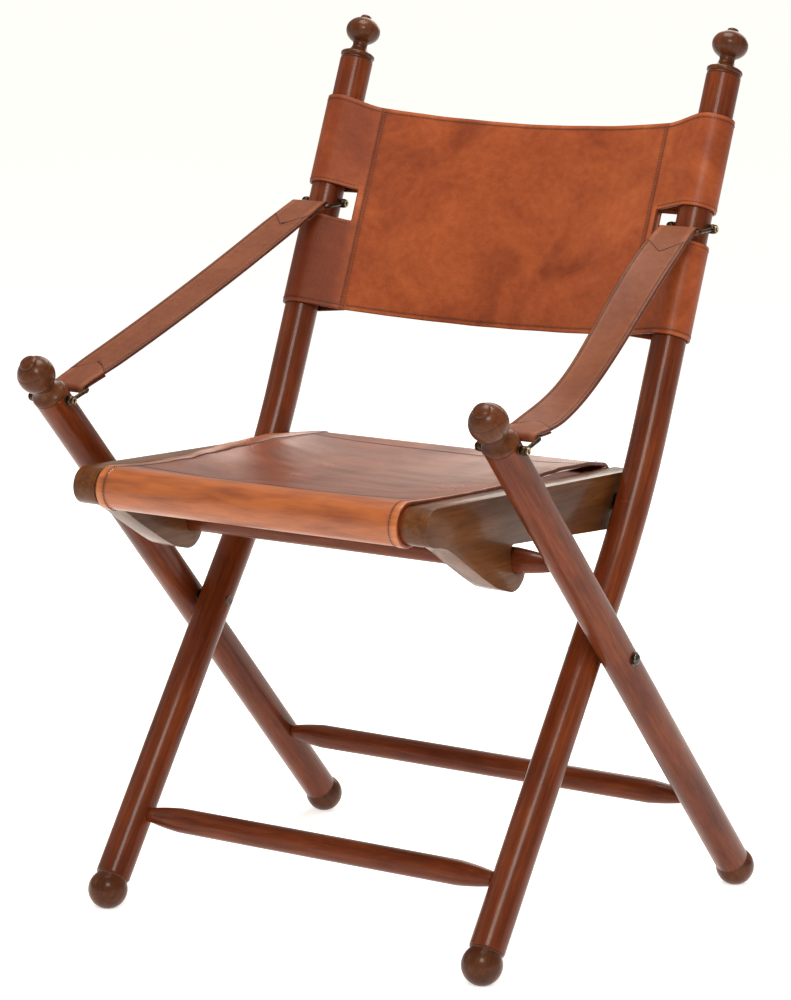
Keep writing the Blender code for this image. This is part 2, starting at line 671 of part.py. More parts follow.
def seat_hinge(side, sign):
    """The bolt that a rail turns on. It screws into a barrel nut behind a plug in the pole."""
    inner = RAIL_OUTER_X - RAIL_THICK - GAP
    centre = at(sign * (inner - WASHER / 2), SEAT_PIVOT)
    washer(f"{side}_seat_bolt_washer", centre, WASHER_R, BOLT_HOLE_R, STEEL)
    between = at(sign * 0.5 * (RAIL_OUTER_X + BACK_X - POLE_R), SEAT_PIVOT)
    washer(f"{side}_seat_spacer", between, 0.0090, BOLT_HOLE_R, STEEL)
    head = sign * (inner - WASHER - GAP)
    bolt(f"{side}_seat_bolt", head, sign * (BACK_X + 0.0060), SEAT_PIVOT, STEEL)
    pole = at(sign * BACK_X, SEAT_PIVOT)
    front = pole.y - POLE_R
    nut_start = front + PLUG_DEPTH + 0.0020
    nut_length = pole.y + 0.0085 - nut_start
    nut_at = Vector((pole.x, nut_start + nut_length / 2, pole.z))
    turn = Matrix.Translation(nut_at) @ ALONG_Y
    nut = cylinder(f"{side}_barrel_nut", BARREL_NUT_R, nut_length, turn, STEEL, None, 16)
    drill(nut, pole, ALONG_X, BOLT_R + 0.0001, 0.02)
    plug_length = PLUG_DEPTH - GAP
    plug_at = Vector((pole.x, front + plug_length / 2, pole.z))
    turn = Matrix.Translation(plug_at) @ ALONG_Y
    cylinder(f"{side}_pole_plug", PLUG_R, plug_length, turn, PLUG_WOOD, None, 20)


for side, sign in SIDES.items():
    scissor(side, sign)
    seat_hinge(side, sign)
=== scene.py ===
import json
import math

import bmesh
import bpy
import numpy as np
from mathutils import Matrix, Vector


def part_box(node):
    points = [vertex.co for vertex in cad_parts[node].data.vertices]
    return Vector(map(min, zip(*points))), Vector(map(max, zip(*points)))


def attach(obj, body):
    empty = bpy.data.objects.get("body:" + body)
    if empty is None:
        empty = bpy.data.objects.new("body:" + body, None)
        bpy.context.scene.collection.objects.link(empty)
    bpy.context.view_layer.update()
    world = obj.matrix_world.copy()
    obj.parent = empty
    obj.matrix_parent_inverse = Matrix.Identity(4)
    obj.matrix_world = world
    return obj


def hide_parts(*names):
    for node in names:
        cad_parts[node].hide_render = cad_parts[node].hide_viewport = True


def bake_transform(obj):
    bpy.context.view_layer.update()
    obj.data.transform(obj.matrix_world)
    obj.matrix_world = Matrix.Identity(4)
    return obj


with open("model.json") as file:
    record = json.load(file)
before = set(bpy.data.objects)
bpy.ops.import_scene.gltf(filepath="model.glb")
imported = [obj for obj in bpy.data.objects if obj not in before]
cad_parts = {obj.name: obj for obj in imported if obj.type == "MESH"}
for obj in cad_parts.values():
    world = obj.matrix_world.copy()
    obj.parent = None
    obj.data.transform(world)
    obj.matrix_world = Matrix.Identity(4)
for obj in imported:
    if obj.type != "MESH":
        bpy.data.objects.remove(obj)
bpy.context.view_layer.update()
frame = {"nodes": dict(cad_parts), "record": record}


# ---------------------------------------------------------------- camera, light and floor
# A chair of this size is seen from its front right, a little above the seat, from 3.6 m away.
# It stands on a pale floor between large soft lights, as in a studio.
CAMERA_PLACE = Vector((1.9202, -2.9887, 1.0441))
CAMERA_AHEAD = Vector((-0.5337, 0.8279, -0.1723))
CAMERA_ROLL = math.radians(0.659)
LENS_MM = 126.67


def linear(code):
    """An sRGB hex colour as the linear RGBA that Blender's sockets take."""
    parts = [int(code[i:i + 2], 16) / 255 for i in (1, 3, 5)]
    return (*[c / 12.92 if c <= 0.04045 else ((c + 0.055) / 1.055) ** 2.4 for c in parts], 1.0)


def add(tree, kind, sockets=None, stops=None, **settings):
    """Add a node: its settings, its colour stops, and each socket's value or the output it reads."""
    made = tree.nodes.new(kind)
    for key, value in settings.items():
        setattr(made, key, value)
    for key, value in (sockets or {}).items():
        if isinstance(value, bpy.types.NodeSocket):
            tree.links.new(value, made.inputs[key])
        else:
            made.inputs[key].default_value = value
    # A ramp starts with two stops, so the lowest and the highest come first, then the others.
    for i, (place, code) in enumerate(stops or []):
        stop = made.color_ramp.elements[i] if i < 2 else made.color_ramp.elements.new(place)
        stop.position = place
        stop.color = linear(code)
    return made


def put(name, data):
    """A new object in the scene."""
    made = bpy.data.objects.new(name, data)
    bpy.context.scene.collection.objects.link(made)
    return made


def bare_finish(name):
    """A new material with its tree and its shader."""
    made = bpy.data.materials.new(name)
    made.use_nodes = True
    return made, made.node_tree, made.node_tree.nodes["Principled BSDF"]


camera = put("camera", bpy.data.cameras.new("camera"))
camera.data.lens = LENS_MM
camera.data.clip_start = 0.1
camera.data.clip_end = 300
camera.rotation_mode = "QUATERNION"
camera.location = CAMERA_PLACE
level = CAMERA_AHEAD.to_track_quat("-Z", "Y").to_matrix().to_4x4()
camera.rotation_quaternion = (level @ Matrix.Rotation(CAMERA_ROLL, 4, "Z")).to_quaternion()
bpy.context.scene.camera = camera

bpy.context.scene.view_settings.view_transform = "Standard"

target = Vector((0.0, 0.0, 0.45))
for name, place, size, watts in (
    ("key_light", (1.5, -2.4, 2.4), 1.1, 62),
    ("left_light", (-2.6, -1.4, 1.6), 1.2, 5),
    ("back_light", (-0.6, 2.8, 2.0), 2.2, 46),
    ("top_light", (0.0, 0.1, 3.0), 1.4, 64),
):
    light = bpy.data.lights.new(name, "AREA")
    light.size = size
    light.energy = watts
    light.color = linear("#fff8ee")[:3]
    lamp = put(name, light)
    lamp.location = place
    lamp.rotation_mode = "QUATERNION"
    lamp.rotation_quaternion = (target - Vector(place)).to_track_quat("-Z", "Y")

world = bpy.data.worlds.new("studio")
world.use_nodes = True
world.node_tree.nodes["Background"].inputs["Color"].default_value = linear("#fff7ec")
world.node_tree.nodes["Background"].inputs["Strength"].default_value = 0.45
bpy.context.scene.world = world

floor_mesh = bpy.data.meshes.new("floor")
FLOOR_REACH = 60
floor_corners = [(x * FLOOR_REACH, y * FLOOR_REACH, 0) for x, y in ((-1, -1), (1, -1), (1, 1), (-1, 1))]
floor_mesh.from_pydata(floor_corners, [], [(0, 1, 2, 3)])
floor = put("floor", floor_mesh)
pale, paper_tree, paper = bare_finish("matt_white_paper")
paper.inputs["Base Color"].default_value = linear("#f4f3f1")
paper.inputs["Roughness"].default_value = 0.9
paper.inputs["Specular IOR Level"].default_value = 0.0
# The paper is lit from behind, so that it stays white out to the horizon.
paper.inputs["Emission Color"].default_value = linear("#ffffff")
paper.inputs["Emission Strength"].default_value = 0.62
floor_mesh.materials.append(pale)


# ---------------------------------------------------------------- turned poles, knobs, feet
# The frame is hardwood turned on a lathe, stained a dark reddish brown and lacquered. The inner
# pair of poles is steam-bent near the seat. The outer pair is straight. Each pole ends in a ball
# foot below and in a knob or a finial above, glued in on a dowel.
joints = {joint["name"]: joint for joint in frame["record"]["behaviour"]["joints"]}
mounts = {mount["name"]: mount for mount in frame["record"]["mounts"]}
BACK_X = abs(joints["right_back_bail_swing"]["pos_m"][0])
ARM_X = abs(joints["right_arm_bail_swing"]["pos_m"][0])
POLE_R = 0.018
FOOT_R = 0.0205
FOOT_CENTRE_Z = 0.0195
FOOT_NECK = 0.0150
KNOB_FROM_PIN = 0.0370
KNOB_DROP = 0.0310
FINIAL_DROP = 0.0340
UPPER_LEAN = math.atan2(0.1803, 0.4554)
BEND_TANGENT = 0.09
FINIAL_FROM_BEND = 0.4898
CHAMFER = 0.0008
ALONG_X = Vector((1, 0, 0))
SIDES = {"left": -1, "right": 1}


def side_point(place):
    """The (Y, Z) point of the side view under a place in the room."""
    return Vector((place[1], place[2]))


def box_middle(node):
    """The middle of a part's box in the side view."""
    low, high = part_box(node)
    return side_point((low + high) / 2)


def at(x, point):
    """A (Y, Z) point of the side view, at the given X."""
    return Vector((x, point.x, point.y))


def crossing(a, along_a, b, along_b):
    """Where two lines of the side view cross."""
    across = along_a.x * along_b.y - along_a.y * along_b.x
    offset = b - a
    return a + along_a * ((offset.x * along_b.y - offset.y * along_b.x) / across)


scissor = side_point(joints["fold"]["pos_m"])
seat_pivot = side_point(joints["seat_lift"]["pos_m"])
back_pin = side_point(joints["right_back_bail_swing"]["pos_m"])
arm_pin = side_point(joints["right_arm_bail_swing"]["pos_m"])
front_foot = Vector((mounts["right_front_foot_rest"]["pos_m"][1], FOOT_CENTRE_Z))
rear_foot = Vector((mounts["right_rear_foot_rest"]["pos_m"][1], FOOT_CENTRE_Z))
LOWER = (scissor - front_foot).normalized()
UPPER = Vector((math.sin(UPPER_LEAN), math.cos(UPPER_LEAN)))
ARM = (arm_pin - rear_foot).normalized()
arm_knob = arm_pin + ARM * KNOB_FROM_PIN
back_bend = crossing(front_foot, LOWER, back_pin, UPPER)
back_finial = back_bend + UPPER * FINIAL_FROM_BEND


def arc(centre, radius, start, end, count):
    """Points along an arc in a drawing plane; angles in degrees."""
    turn = [math.radians(start + (end - start) * i / (count - 1)) for i in range(count)]
    return [centre + radius * Vector((math.cos(a), math.sin(a))) for a in turn]


def curve_line():
    """The back pole's centre line: straight, a wide bend near the seat, straight."""
    start = back_bend - LOWER * BEND_TANGENT
    turn = math.acos(LOWER.dot(UPPER))
    radius = BEND_TANGENT / math.tan(turn / 2)
    centre = start + radius * Vector((-LOWER.y, LOWER.x))
    first = math.degrees(math.atan2(-LOWER.x, LOWER.y))
    bend = arc(centre, radius, first, first + math.degrees(turn), 25)
    return [front_foot + LOWER * FOOT_NECK, *bend, back_finial - UPPER * FINIAL_DROP]


def new_piece(name, verts, faces, finish, grain=None):
    """A mesh object at the origin, smooth except across sharp edges, with its grain direction."""
    mesh = bpy.data.meshes.new(name)
    mesh.from_pydata([tuple(v) for v in verts], [], faces)
    mesh.shade_smooth()
    mesh.set_sharp_from_angle(angle=math.radians(38))
    if grain is not None:
        data = mesh.attributes.new("grain", "FLOAT_VECTOR", "POINT")
        data.data.foreach_set("vector", np.array(grain, np.float32).ravel())
    mesh.materials.append(finish)
    return put(name, mesh)


def stand_for(obj, body, finish_slot, *nodes):
    """The piece rides on its body in place of the nodes, which it hides. The finish slot is not used."""
    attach(obj, body)
    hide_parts(*nodes)
    return obj


wood_lots = np.random.default_rng(7)


def turned(name, rings, finish, segments=56, closed=False):
    """Rings along a centre line: (centre, two directions across, radius, distance along)."""
    lot = wood_lots.uniform(-3, 3, 3)
    verts, grain, faces, starts = [], [], [], []
    for centre, side, other, radius, along in rings:
        starts.append((len(verts), 1 if radius < 1e-6 else segments))
        for i in range(starts[-1][1]):
            turn = 2 * math.pi * i / segments
            across = (radius * math.cos(turn), radius * math.sin(turn))
            verts.append(centre + side * across[0] + other * across[1])
            grain.append((across[0] + lot[0], across[1] + lot[1], along + lot[2]))
    for (a, size_a), (b, size_b) in zip(starts, starts[1:] + starts[:1] * closed):
        for i in range(segments):
            j = (i + 1) % segments
            if size_a == 1:
                faces.append((a, b + j, b + i))
            elif size_b == 1:
                faces.append((a + i, a + j, b))
            else:
                faces.append((a + i, a + j, b + j, b + i))
    return new_piece(name, verts, faces, finish, grain)


def straight(name, profile, origin, axis, finish, segments=56, closed=False):
    """A straight turned piece: (radius, height) points, from the lowest height to the highest."""
    axis = axis.normalized()
    side = axis.orthogonal().normalized()
    other = axis.cross(side)
    rings = [(origin + axis * height, side, other, radius, height) for radius, height in profile]
    return turned(name, rings, finish, segments, closed)


def round_over(radius, height, start, end, count, centre=0.0):
    """Profile points on an ellipse; angles in degrees from its bottom."""
    turn = [math.radians(start + (end - start) * i / (count - 1)) for i in range(count)]
    return [(radius * math.sin(a), centre - height * math.cos(a)) for a in turn]


def wood_finish(name, dark, middle, light, gloss):
    """Stained hardwood under satin lacquer: streaks along the grain, open pores, worn highlights."""
    made, tree, shader = bare_finish(name)
    grain = add(tree, "ShaderNodeAttribute", attribute_name="grain").outputs["Vector"]
    # Streaks 4 mm wide and 15 times as long.
    long = add(tree, "ShaderNodeMapping", {"Vector": grain, "Scale": (1.0, 1.0, 0.065)}).outputs[0]
    streaks = add(tree, "ShaderNodeTexNoise", {
        "Vector": long, "Scale": 230.0, "Detail": 5.0, "Roughness": 0.62, "Distortion": 0.5})
    colour = add(tree, "ShaderNodeValToRGB", {"Fac": streaks.outputs["Fac"]}, stops=[
        (0.20, dark), (0.84, light), (0.52, middle)])
    # Growth rings 7 mm apart, bent by the wood's own wander.
    rings = add(tree, "ShaderNodeTexWave", {
        "Vector": long, "Scale": 45.0, "Distortion": 7.0, "Detail": 3.0, "Detail Scale": 1.4,
        "Detail Roughness": 0.6}, wave_type="BANDS", bands_direction="X")
    ringed = add(tree, "ShaderNodeMix", {
        0: rings.outputs["Fac"], 6: colour.outputs["Color"], 7: linear(dark)},
        data_type="RGBA", blend_type="MIX")
    softened = add(tree, "ShaderNodeMix", {
        0: 0.12, 6: colour.outputs["Color"], 7: ringed.outputs[2]}, data_type="RGBA")
    # The stain takes unevenly over patches 80 mm long.
    patch = add(tree, "ShaderNodeTexNoise", {
        "Vector": add(tree, "ShaderNodeMapping", {
            "Vector": grain, "Scale": (1.0, 1.0, 0.35)}).outputs[0],
        "Scale": 34.0, "Detail": 3.0, "Roughness": 0.5})
    uneven = add(tree, "ShaderNodeValToRGB", {"Fac": patch.outputs["Fac"]}, stops=[
        (0.32, "#b9a59a"), (0.68, "#ffffff")])
    stained = add(tree, "ShaderNodeMix", {
        0: 0.8, 6: softened.outputs[2], 7: uneven.outputs["Color"]},
        data_type="RGBA", blend_type="MULTIPLY")
    # Pores 0.7 mm wide and 17 mm long.
    fine = add(tree, "ShaderNodeMapping", {"Vector": grain, "Scale": (1.0, 1.0, 0.04)}).outputs[0]
    pores = add(tree, "ShaderNodeTexNoise", {
        "Vector": fine, "Scale": 1500.0, "Detail": 2.0, "Roughness": 0.5})
    pored = add(tree, "ShaderNodeValToRGB", {"Fac": pores.outputs["Fac"]}, stops=[
        (0.34, "#8a7468"), (0.47, "#ffffff")])
    final = add(tree, "ShaderNodeMix", {
        0: 0.35, 6: stained.outputs[2], 7: pored.outputs["Color"]},
        data_type="RGBA", blend_type="MULTIPLY")
    tree.links.new(final.outputs[2], shader.inputs["Base Color"])
    rough = add(tree, "ShaderNodeMapRange", {
        "Value": patch.outputs["Fac"], "From Min": 0.3, "From Max": 0.7,
        "To Min": gloss + 0.08, "To Max": gloss - 0.04})
    tree.links.new(rough.outputs["Result"], shader.inputs["Roughness"])
    bump = add(tree, "ShaderNodeBump", {
        "Height": add(tree, "ShaderNodeMath", {
            0: pored.outputs["Color"], 1: streaks.outputs["Fac"]}, operation="ADD").outputs[0],
        "Strength": 0.12, "Distance": 0.0003})
    tree.links.new(bump.outputs["Normal"], shader.inputs["Normal"])
    shader.inputs["Specular IOR Level"].default_value = 0.12
    shader.inputs["Coat Weight"].default_value = 0.30
    shader.inputs["Coat Roughness"].default_value = 0.13
    shader.inputs["Coat IOR"].default_value = 1.35
    return made


mahogany = wood_finish("satin_lacquered_mahogany", "#4d1e0a", "#6c3012", "#83431e", 0.36)
aged_mahogany = wood_finish("hand_worn_mahogany", "#44210e", "#593017", "#6d3f22", 0.34)

line = curve_line()
low_way = at(0, LOWER)
high_way = at(0, UPPER)
for side, sign in SIDES.items():
    rings = []
    for i, point in enumerate(line):
        before = line[max(i - 1, 0)]
        after = line[min(i + 1, len(line) - 1)]
        along = (after - before).normalized()
        other = Vector((0.0, along.x, along.y)).cross(ALONG_X).normalized()
        distance = distance + (point - before).length if i else 0.0
        rings.append((at(sign * BACK_X, point), other, ALONG_X, POLE_R, distance))
    first, last = rings[0], rings[-1]
    rings = [
        (first[0], *first[1:3], 0.0, 0.0),
        (first[0], *first[1:3], POLE_R - CHAMFER, 0.0),
        (first[0] + low_way * CHAMFER, *first[1:3], POLE_R, CHAMFER),
        *rings[1:-1],
        (last[0] - high_way * CHAMFER, *last[1:3], POLE_R, last[4] - CHAMFER),
        (last[0], *last[1:3], POLE_R - CHAMFER, last[4]),
        (last[0], *last[1:3], 0.0, last[4]),
    ]
    pole = turned(f"{side}_bent_back_pole", rings, mahogany)
    stand_for(pole, "back_frame", "stained_hardwood", f"{side}_back_pole")

for side, sign in SIDES.items():
    start = at(sign * ARM_X, rear_foot + ARM * FOOT_NECK)
    length = (arm_knob - rear_foot).length - FOOT_NECK - KNOB_DROP
    profile = [(0.0, 0.0), (POLE_R - CHAMFER, 0.0), (POLE_R, CHAMFER)]
    profile += [(POLE_R, length * i / 12) for i in range(1, 12)]
    profile += [(POLE_R, length - CHAMFER), (POLE_R - CHAMFER, length), (0.0, length)]
    post = straight(f"{side}_straight_arm_post", profile, start, at(0, ARM), mahogany)
    stand_for(post, "arm_frame", "stained_hardwood", f"{side}_arm_post")

# The finial is a flattened ball under a small button, on a thin neck and a lipped collar.
COLLAR_R = 0.0158
finial_profile = [(0.0, -FINIAL_DROP), (0.0170, -FINIAL_DROP), (0.0178, -0.0332), (0.0174, -0.0318)]
finial_profile += [(COLLAR_R + r, z) for r, z in round_over(0.0030, 0.0030, 20, 150, 9, -0.0288)]
finial_profile += [(COLLAR_R, -0.0254), (0.0128, -0.0243), (0.0104, -0.0228), (0.0088, -0.0205)]
finial_profile += [(0.0080, -0.0180), (0.0079, -0.0158), (0.0086, -0.0136)]
finial_profile += round_over(0.0188, 0.0152, 34, 157, 22)
finial_profile += [(0.0062, 0.0143), (0.0054, 0.0148), (0.0055, 0.0154)]
finial_profile += round_over(0.0060, 0.0032, 80, 180, 8, 0.0154)

# The arm knob is a ball with a low button and one scored line, on a bell that flares to the post.
knob_profile = [(0.0, -KNOB_DROP), (0.0176, -KNOB_DROP), (0.0183, -0.0304), (0.0184, -0.0290)]
knob_profile += [(0.0178, -0.0272), (0.0163, -0.0256), (0.0143, -0.0238), (0.0123, -0.0214)]
knob_profile += [(0.0109, -0.0190), (0.0106, -0.0172), (0.0112, -0.0160)]
knob_profile += round_over(0.01925, 0.01925, 36, 112, 16)
knob_profile += round_over(0.01885, 0.01885, 114, 116, 2)
knob_profile += round_over(0.01925, 0.01925, 118, 151, 8)
knob_profile += [(0.0086, 0.0171), (0.0084, 0.0177), (0.0087, 0.0184)]
knob_profile += round_over(0.0090, 0.0032, 80, 180, 8, 0.0188)

# The ball foot meets its pole at a scored neck and is worn flat where it stands.
foot_profile = round_over(FOOT_R, FOOT_R, 0, 122, 34)
foot_profile += [(0.0168, 0.0119), (0.0165, 0.0126), (0.0170, 0.0134), (0.0176, 0.0143)]
foot_profile += [(0.0172, FOOT_NECK), (0.0, FOOT_NECK)]


def worn_flat(obj):
    """Flatten what would stand below the floor."""
    for vertex in obj.data.vertices:
        vertex.co.z = max(vertex.co.z, 0.0)


for side, sign in SIDES.items():
    top = straight(f"{side}_turned_finial", finial_profile, at(sign * BACK_X, back_finial),
                   at(0, UPPER), aged_mahogany)
    stand_for(top, "back_frame", "stained_hardwood", f"{side}_back_finial")
    ball = straight(f"{side}_turned_arm_knob", knob_profile, at(sign * ARM_X, arm_knob),
                    at(0, ARM), aged_mahogany)
    stand_for(ball, "arm_frame", "stained_hardwood", f"{side}_arm_knob")
    front = straight(f"{side}_turned_front_foot", foot_profile, at(sign * BACK_X, front_foot),
                     at(0, LOWER), aged_mahogany)
    worn_flat(front)
    stand_for(front, "back_frame", "stained_hardwood", f"{side}_front_foot")
    rear = straight(f"{side}_turned_rear_foot", foot_profile, at(sign * ARM_X, rear_foot),
                    at(0, ARM), aged_mahogany)
    worn_flat(rear)
    stand_for(rear, "arm_frame", "stained_hardwood", f"{side}_rear_foot")


# ---------------------------------------------------------------- stretchers
# Three turned rungs tie the poles in pairs: front feet, rear feet, and one under the seat that
# the rails hook over. Each tapers over its last 40 mm to a tenon glued into the pole.
STRETCHER_R = 0.0128
STRETCHER_END_R = 0.0072
STRETCHER_TAPER = 0.040
TENON_R = 0.0060
TENON = 0.012

for name, post_x, body in (
    ("front_stretcher", BACK_X, "back_frame"),
    ("rear_stretcher", ARM_X, "arm_frame"),
    ("seat_stretcher", ARM_X, "arm_frame"),
):
    shoulder = post_x - POLE_R
    half = [(0.0, shoulder + TENON), (TENON_R, shoulder + TENON), (TENON_R, shoulder + 0.0005)]
    half += [(STRETCHER_END_R, shoulder - 0.0006), (STRETCHER_END_R + 0.0004, shoulder - 0.0014)]
    for i in range(1, 9):
        share = i / 8
        bulge = 0.0006 * math.sin(math.pi * share)
        radius = STRETCHER_END_R + 0.0004 + (STRETCHER_R - STRETCHER_END_R - 0.0004) * share
        half.append((radius + bulge, shoulder - 0.0014 - (STRETCHER_TAPER - 0.0014) * share))
    profile = [(r, -h) for r, h in half]
    profile += [(STRETCHER_R, (shoulder - STRETCHER_TAPER) * i / 5) for i in range(-4, 5)]
    profile += [(r, h) for r, h in reversed(half)]
    rung = straight(f"turned_{name}", profile, at(0, box_middle(name)), ALONG_X,
                    mahogany, 40)
    stand_for(rung, body, "stained_hardwood", name)


# ---------------------------------------------------------------- seat rails
# Two rails sawn from board, rounded at both ends and eased along every edge. Under its front
# half each has a hook with a round lip, whose mouth closes over the stretcher as the seat drops.
RAIL_NOSE_R = 0.0188
RAIL_REAR_R = 0.0288
seat_stretcher = box_middle("seat_stretcher")
front_bar = box_middle("front_seat_bar")
rear_bar = box_middle("rear_seat_bar")
rail_low, rail_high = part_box("right_seat_rail")
rail_rear = Vector((rail_high.y - RAIL_REAR_R, seat_pivot.y - 0.0010))


def smooth_run(points, count):
    """A Catmull-Rom curve through points, for a sawn sweep."""
    run = []
    for i in range(1, len(points) - 2):
        a, b, c, d = points[i - 1:i + 3]
        for k in range(count):
            t = k / count
            run.append(0.5 * (2 * b + (c - a) * t + (2 * a - 5 * b + 4 * c - d) * t * t
                              + (3 * b - a - 3 * c + d) * t ** 3))
    return run + [points[-2]]


def rail_outline():
    """The board's outline: round nose, hook with its open mouth, and round tail."""
    lobe = seat_stretcher + Vector((-0.0072, -0.0071))
    lip = seat_stretcher + Vector((0.0119, -0.0122))
    mouth_r = STRETCHER_R + 0.0004
    outline = arc(front_bar, RAIL_NOSE_R, 90, 255, 26)
    sweep = [front_bar + Vector((-0.0090, -0.0150)), front_bar + Vector((0.0060, -0.0196))]
    sweep += [front_bar + Vector((0.0200, -0.0236)), front_bar + Vector((0.0360, -0.0320))]
    sweep += [front_bar + Vector((0.0560, -0.0444)), front_bar + Vector((0.0760, -0.0560))]
    sweep += [front_bar + Vector((0.0950, -0.0668)), front_bar + Vector((0.1130, -0.0758))]
    sweep += [front_bar + Vector((0.1300, -0.0812))]
    outline += smooth_run(sweep, 6)
    outline += arc(lobe, 0.0230, 252, 338, 26)
    outline += arc(lip, 0.0041, -58, 122, 12)
    outline += arc(seat_stretcher, mouth_r, -44, -180, 20)
    outline += arc(seat_stretcher + Vector((0.0060 - mouth_r, 0.0110)), 0.0060, 180, 92, 8)
    return outline + arc(rail_rear, RAIL_REAR_R, -95, 90, 28)


def drawn(name, outline, thickness, x):
    """A plate cut to an outline in the side view, centred on X, with clean long faces."""
    work = bmesh.new()
    half = thickness / 2
    corners = [work.verts.new(at(x - half, point)) for point in outline]
    face = work.faces.new(corners)
    bmesh.ops.recalc_face_normals(work, faces=[face])
    sheet = bmesh.ops.extrude_face_region(work, geom=[face])
    moved = [item for item in sheet["geom"] if isinstance(item, bmesh.types.BMVert)]
    bmesh.ops.translate(work, verts=moved, vec=(thickness, 0, 0))
    bmesh.ops.recalc_face_normals(work, faces=work.faces)
    mesh = bpy.data.meshes.new(name)
    work.to_mesh(mesh)
    work.free()
    return put(name, mesh)


def settle(obj):
    """Apply the piece's modifiers to its mesh."""
    bpy.context.view_layer.update()
    graph = bpy.context.evaluated_depsgraph_get()
    mesh = bpy.data.meshes.new_from_object(obj.evaluated_get(graph))
    obj.modifiers.clear()
    obj.data = mesh
    return obj


rail_wood = wood_finish("satin_lacquered_board", "#4a2a12", "#653d1e", "#7a512b", 0.34)

for side, sign in SIDES.items():
    low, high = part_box(f"{side}_seat_rail")
    thick = high.x - low.x
    rail = drawn(f"{side}_sawn_seat_rail", rail_outline(), thick, (low.x + high.x) / 2)
    eased = rail.modifiers.new("eased_edges", "BEVEL")
    eased.width = 0.0022
    eased.segments = 3
    eased.limit_method = "ANGLE"
    eased.angle_limit = math.radians(50)
    settle(rail)
    rail.data.shade_smooth()
    rail.data.set_sharp_from_angle(angle=math.radians(30))
    lot = wood_lots.uniform(-3, 3, 3)
    points = np.array([vertex.co for vertex in rail.data.vertices])
    grain = np.column_stack([points[:, 0] + lot[0], points[:, 2] + lot[1], points[:, 1] + lot[2]])
    data = rail.data.attributes.new("grain", "FLOAT_VECTOR", "POINT")
    data.data.foreach_set("vector", grain.astype(np.float32).ravel())
    rail.data.materials.clear()
    rail.data.materials.append(rail_wood)
    stand_for(rail, "seat", "stained_hardwood", f"{side}_seat_rail")

for name in ("front_seat_bar", "rear_seat_bar"):
    low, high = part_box(name)
    radius = (high.z - low.z) / 2
    shoulder = abs(rail_low.x) - 0.0003
    half = [(0.0, high.x), (0.5 * radius, high.x), (0.5 * radius, shoulder), (radius, shoulder)]
    profile = [(r, -h) for r, h in half] + [(r, h) for r, h in reversed(half)]
    bar = straight(f"turned_{name}", profile, at(0, box_middle(name)), ALONG_X,
                   mahogany, 48)
    stand_for(bar, "seat", "stained_hardwood", name)


# ---------------------------------------------------------------- seat leather
# One hide panel 2.6 mm thick, waxed tan, wraps both bars and is sewn back on itself. Its side
# hems pull straight between the bars while the middle sags, so the edges stand up and waist in.
LEATHER = 0.0026
HEM_THICK = 0.0042
WRAP_GAP = 0.0008
SEAT_SAG = 0.016
SEAT_HEM = 0.0095
SEAT_FRONT_SEAM = 0.030
SEAT_REAR_SEAM = 0.022
PACE = 0.0040
FINE_PACE = 0.0030
FULL_TURN = 6.283
seat_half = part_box("seat_leather")[1].x
bar_r = (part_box("front_seat_bar")[1].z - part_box("front_seat_bar")[0].z) / 2
rear_bar_r = (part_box("rear_seat_bar")[1].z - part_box("rear_seat_bar")[0].z) / 2


def paced(points, pace):
    """A polyline walked in equal steps of about one pace, with its ends kept."""
    points = np.array([tuple(p) for p in points])
    steps = np.linalg.norm(np.diff(points, axis=0), axis=1)
    walked = np.concatenate([[0], np.cumsum(steps)])
    count = max(2, int(round(walked[-1] / pace)) + 1)
    stops = np.linspace(0, walked[-1], count)
    return np.column_stack([np.interp(stops, walked, points[:, k]) for k in range(points.shape[1])])


def columns_between(half, seams, pace):
    """Places across a panel from -half to half, with three columns at each stitched seam."""
    fixed = {-half, half}
    for seam in seams:
        for offset in (-0.0022, -0.0010, 0.0, 0.0010, 0.0022):
            fixed.update((seam + offset, -seam + offset))
    fixed = sorted(fixed)
    places = []
    for a, b in zip(fixed, fixed[1:]):
        count = max(1, int(round((b - a) / pace)))
        places += [a + (b - a) * i / count for i in range(count)]
    return np.array(places + [half])


def mark_hide(mesh, flat, **marks):
    """The hide's flat layout as its UV map, and a value for each mark at each point."""
    corner = np.empty(len(mesh.loops), np.int32)
    mesh.loops.foreach_get("vertex_index", corner)
    layout = mesh.uv_layers.new(name="hide")
    layout.data.foreach_set("uv", np.asarray(flat)[corner].astype(np.float32).ravel())
    for key, values in marks.items():
        data = mesh.attributes.new(key, "FLOAT", "POINT")
        data.data.foreach_set("value", np.asarray(values, np.float32).ravel())


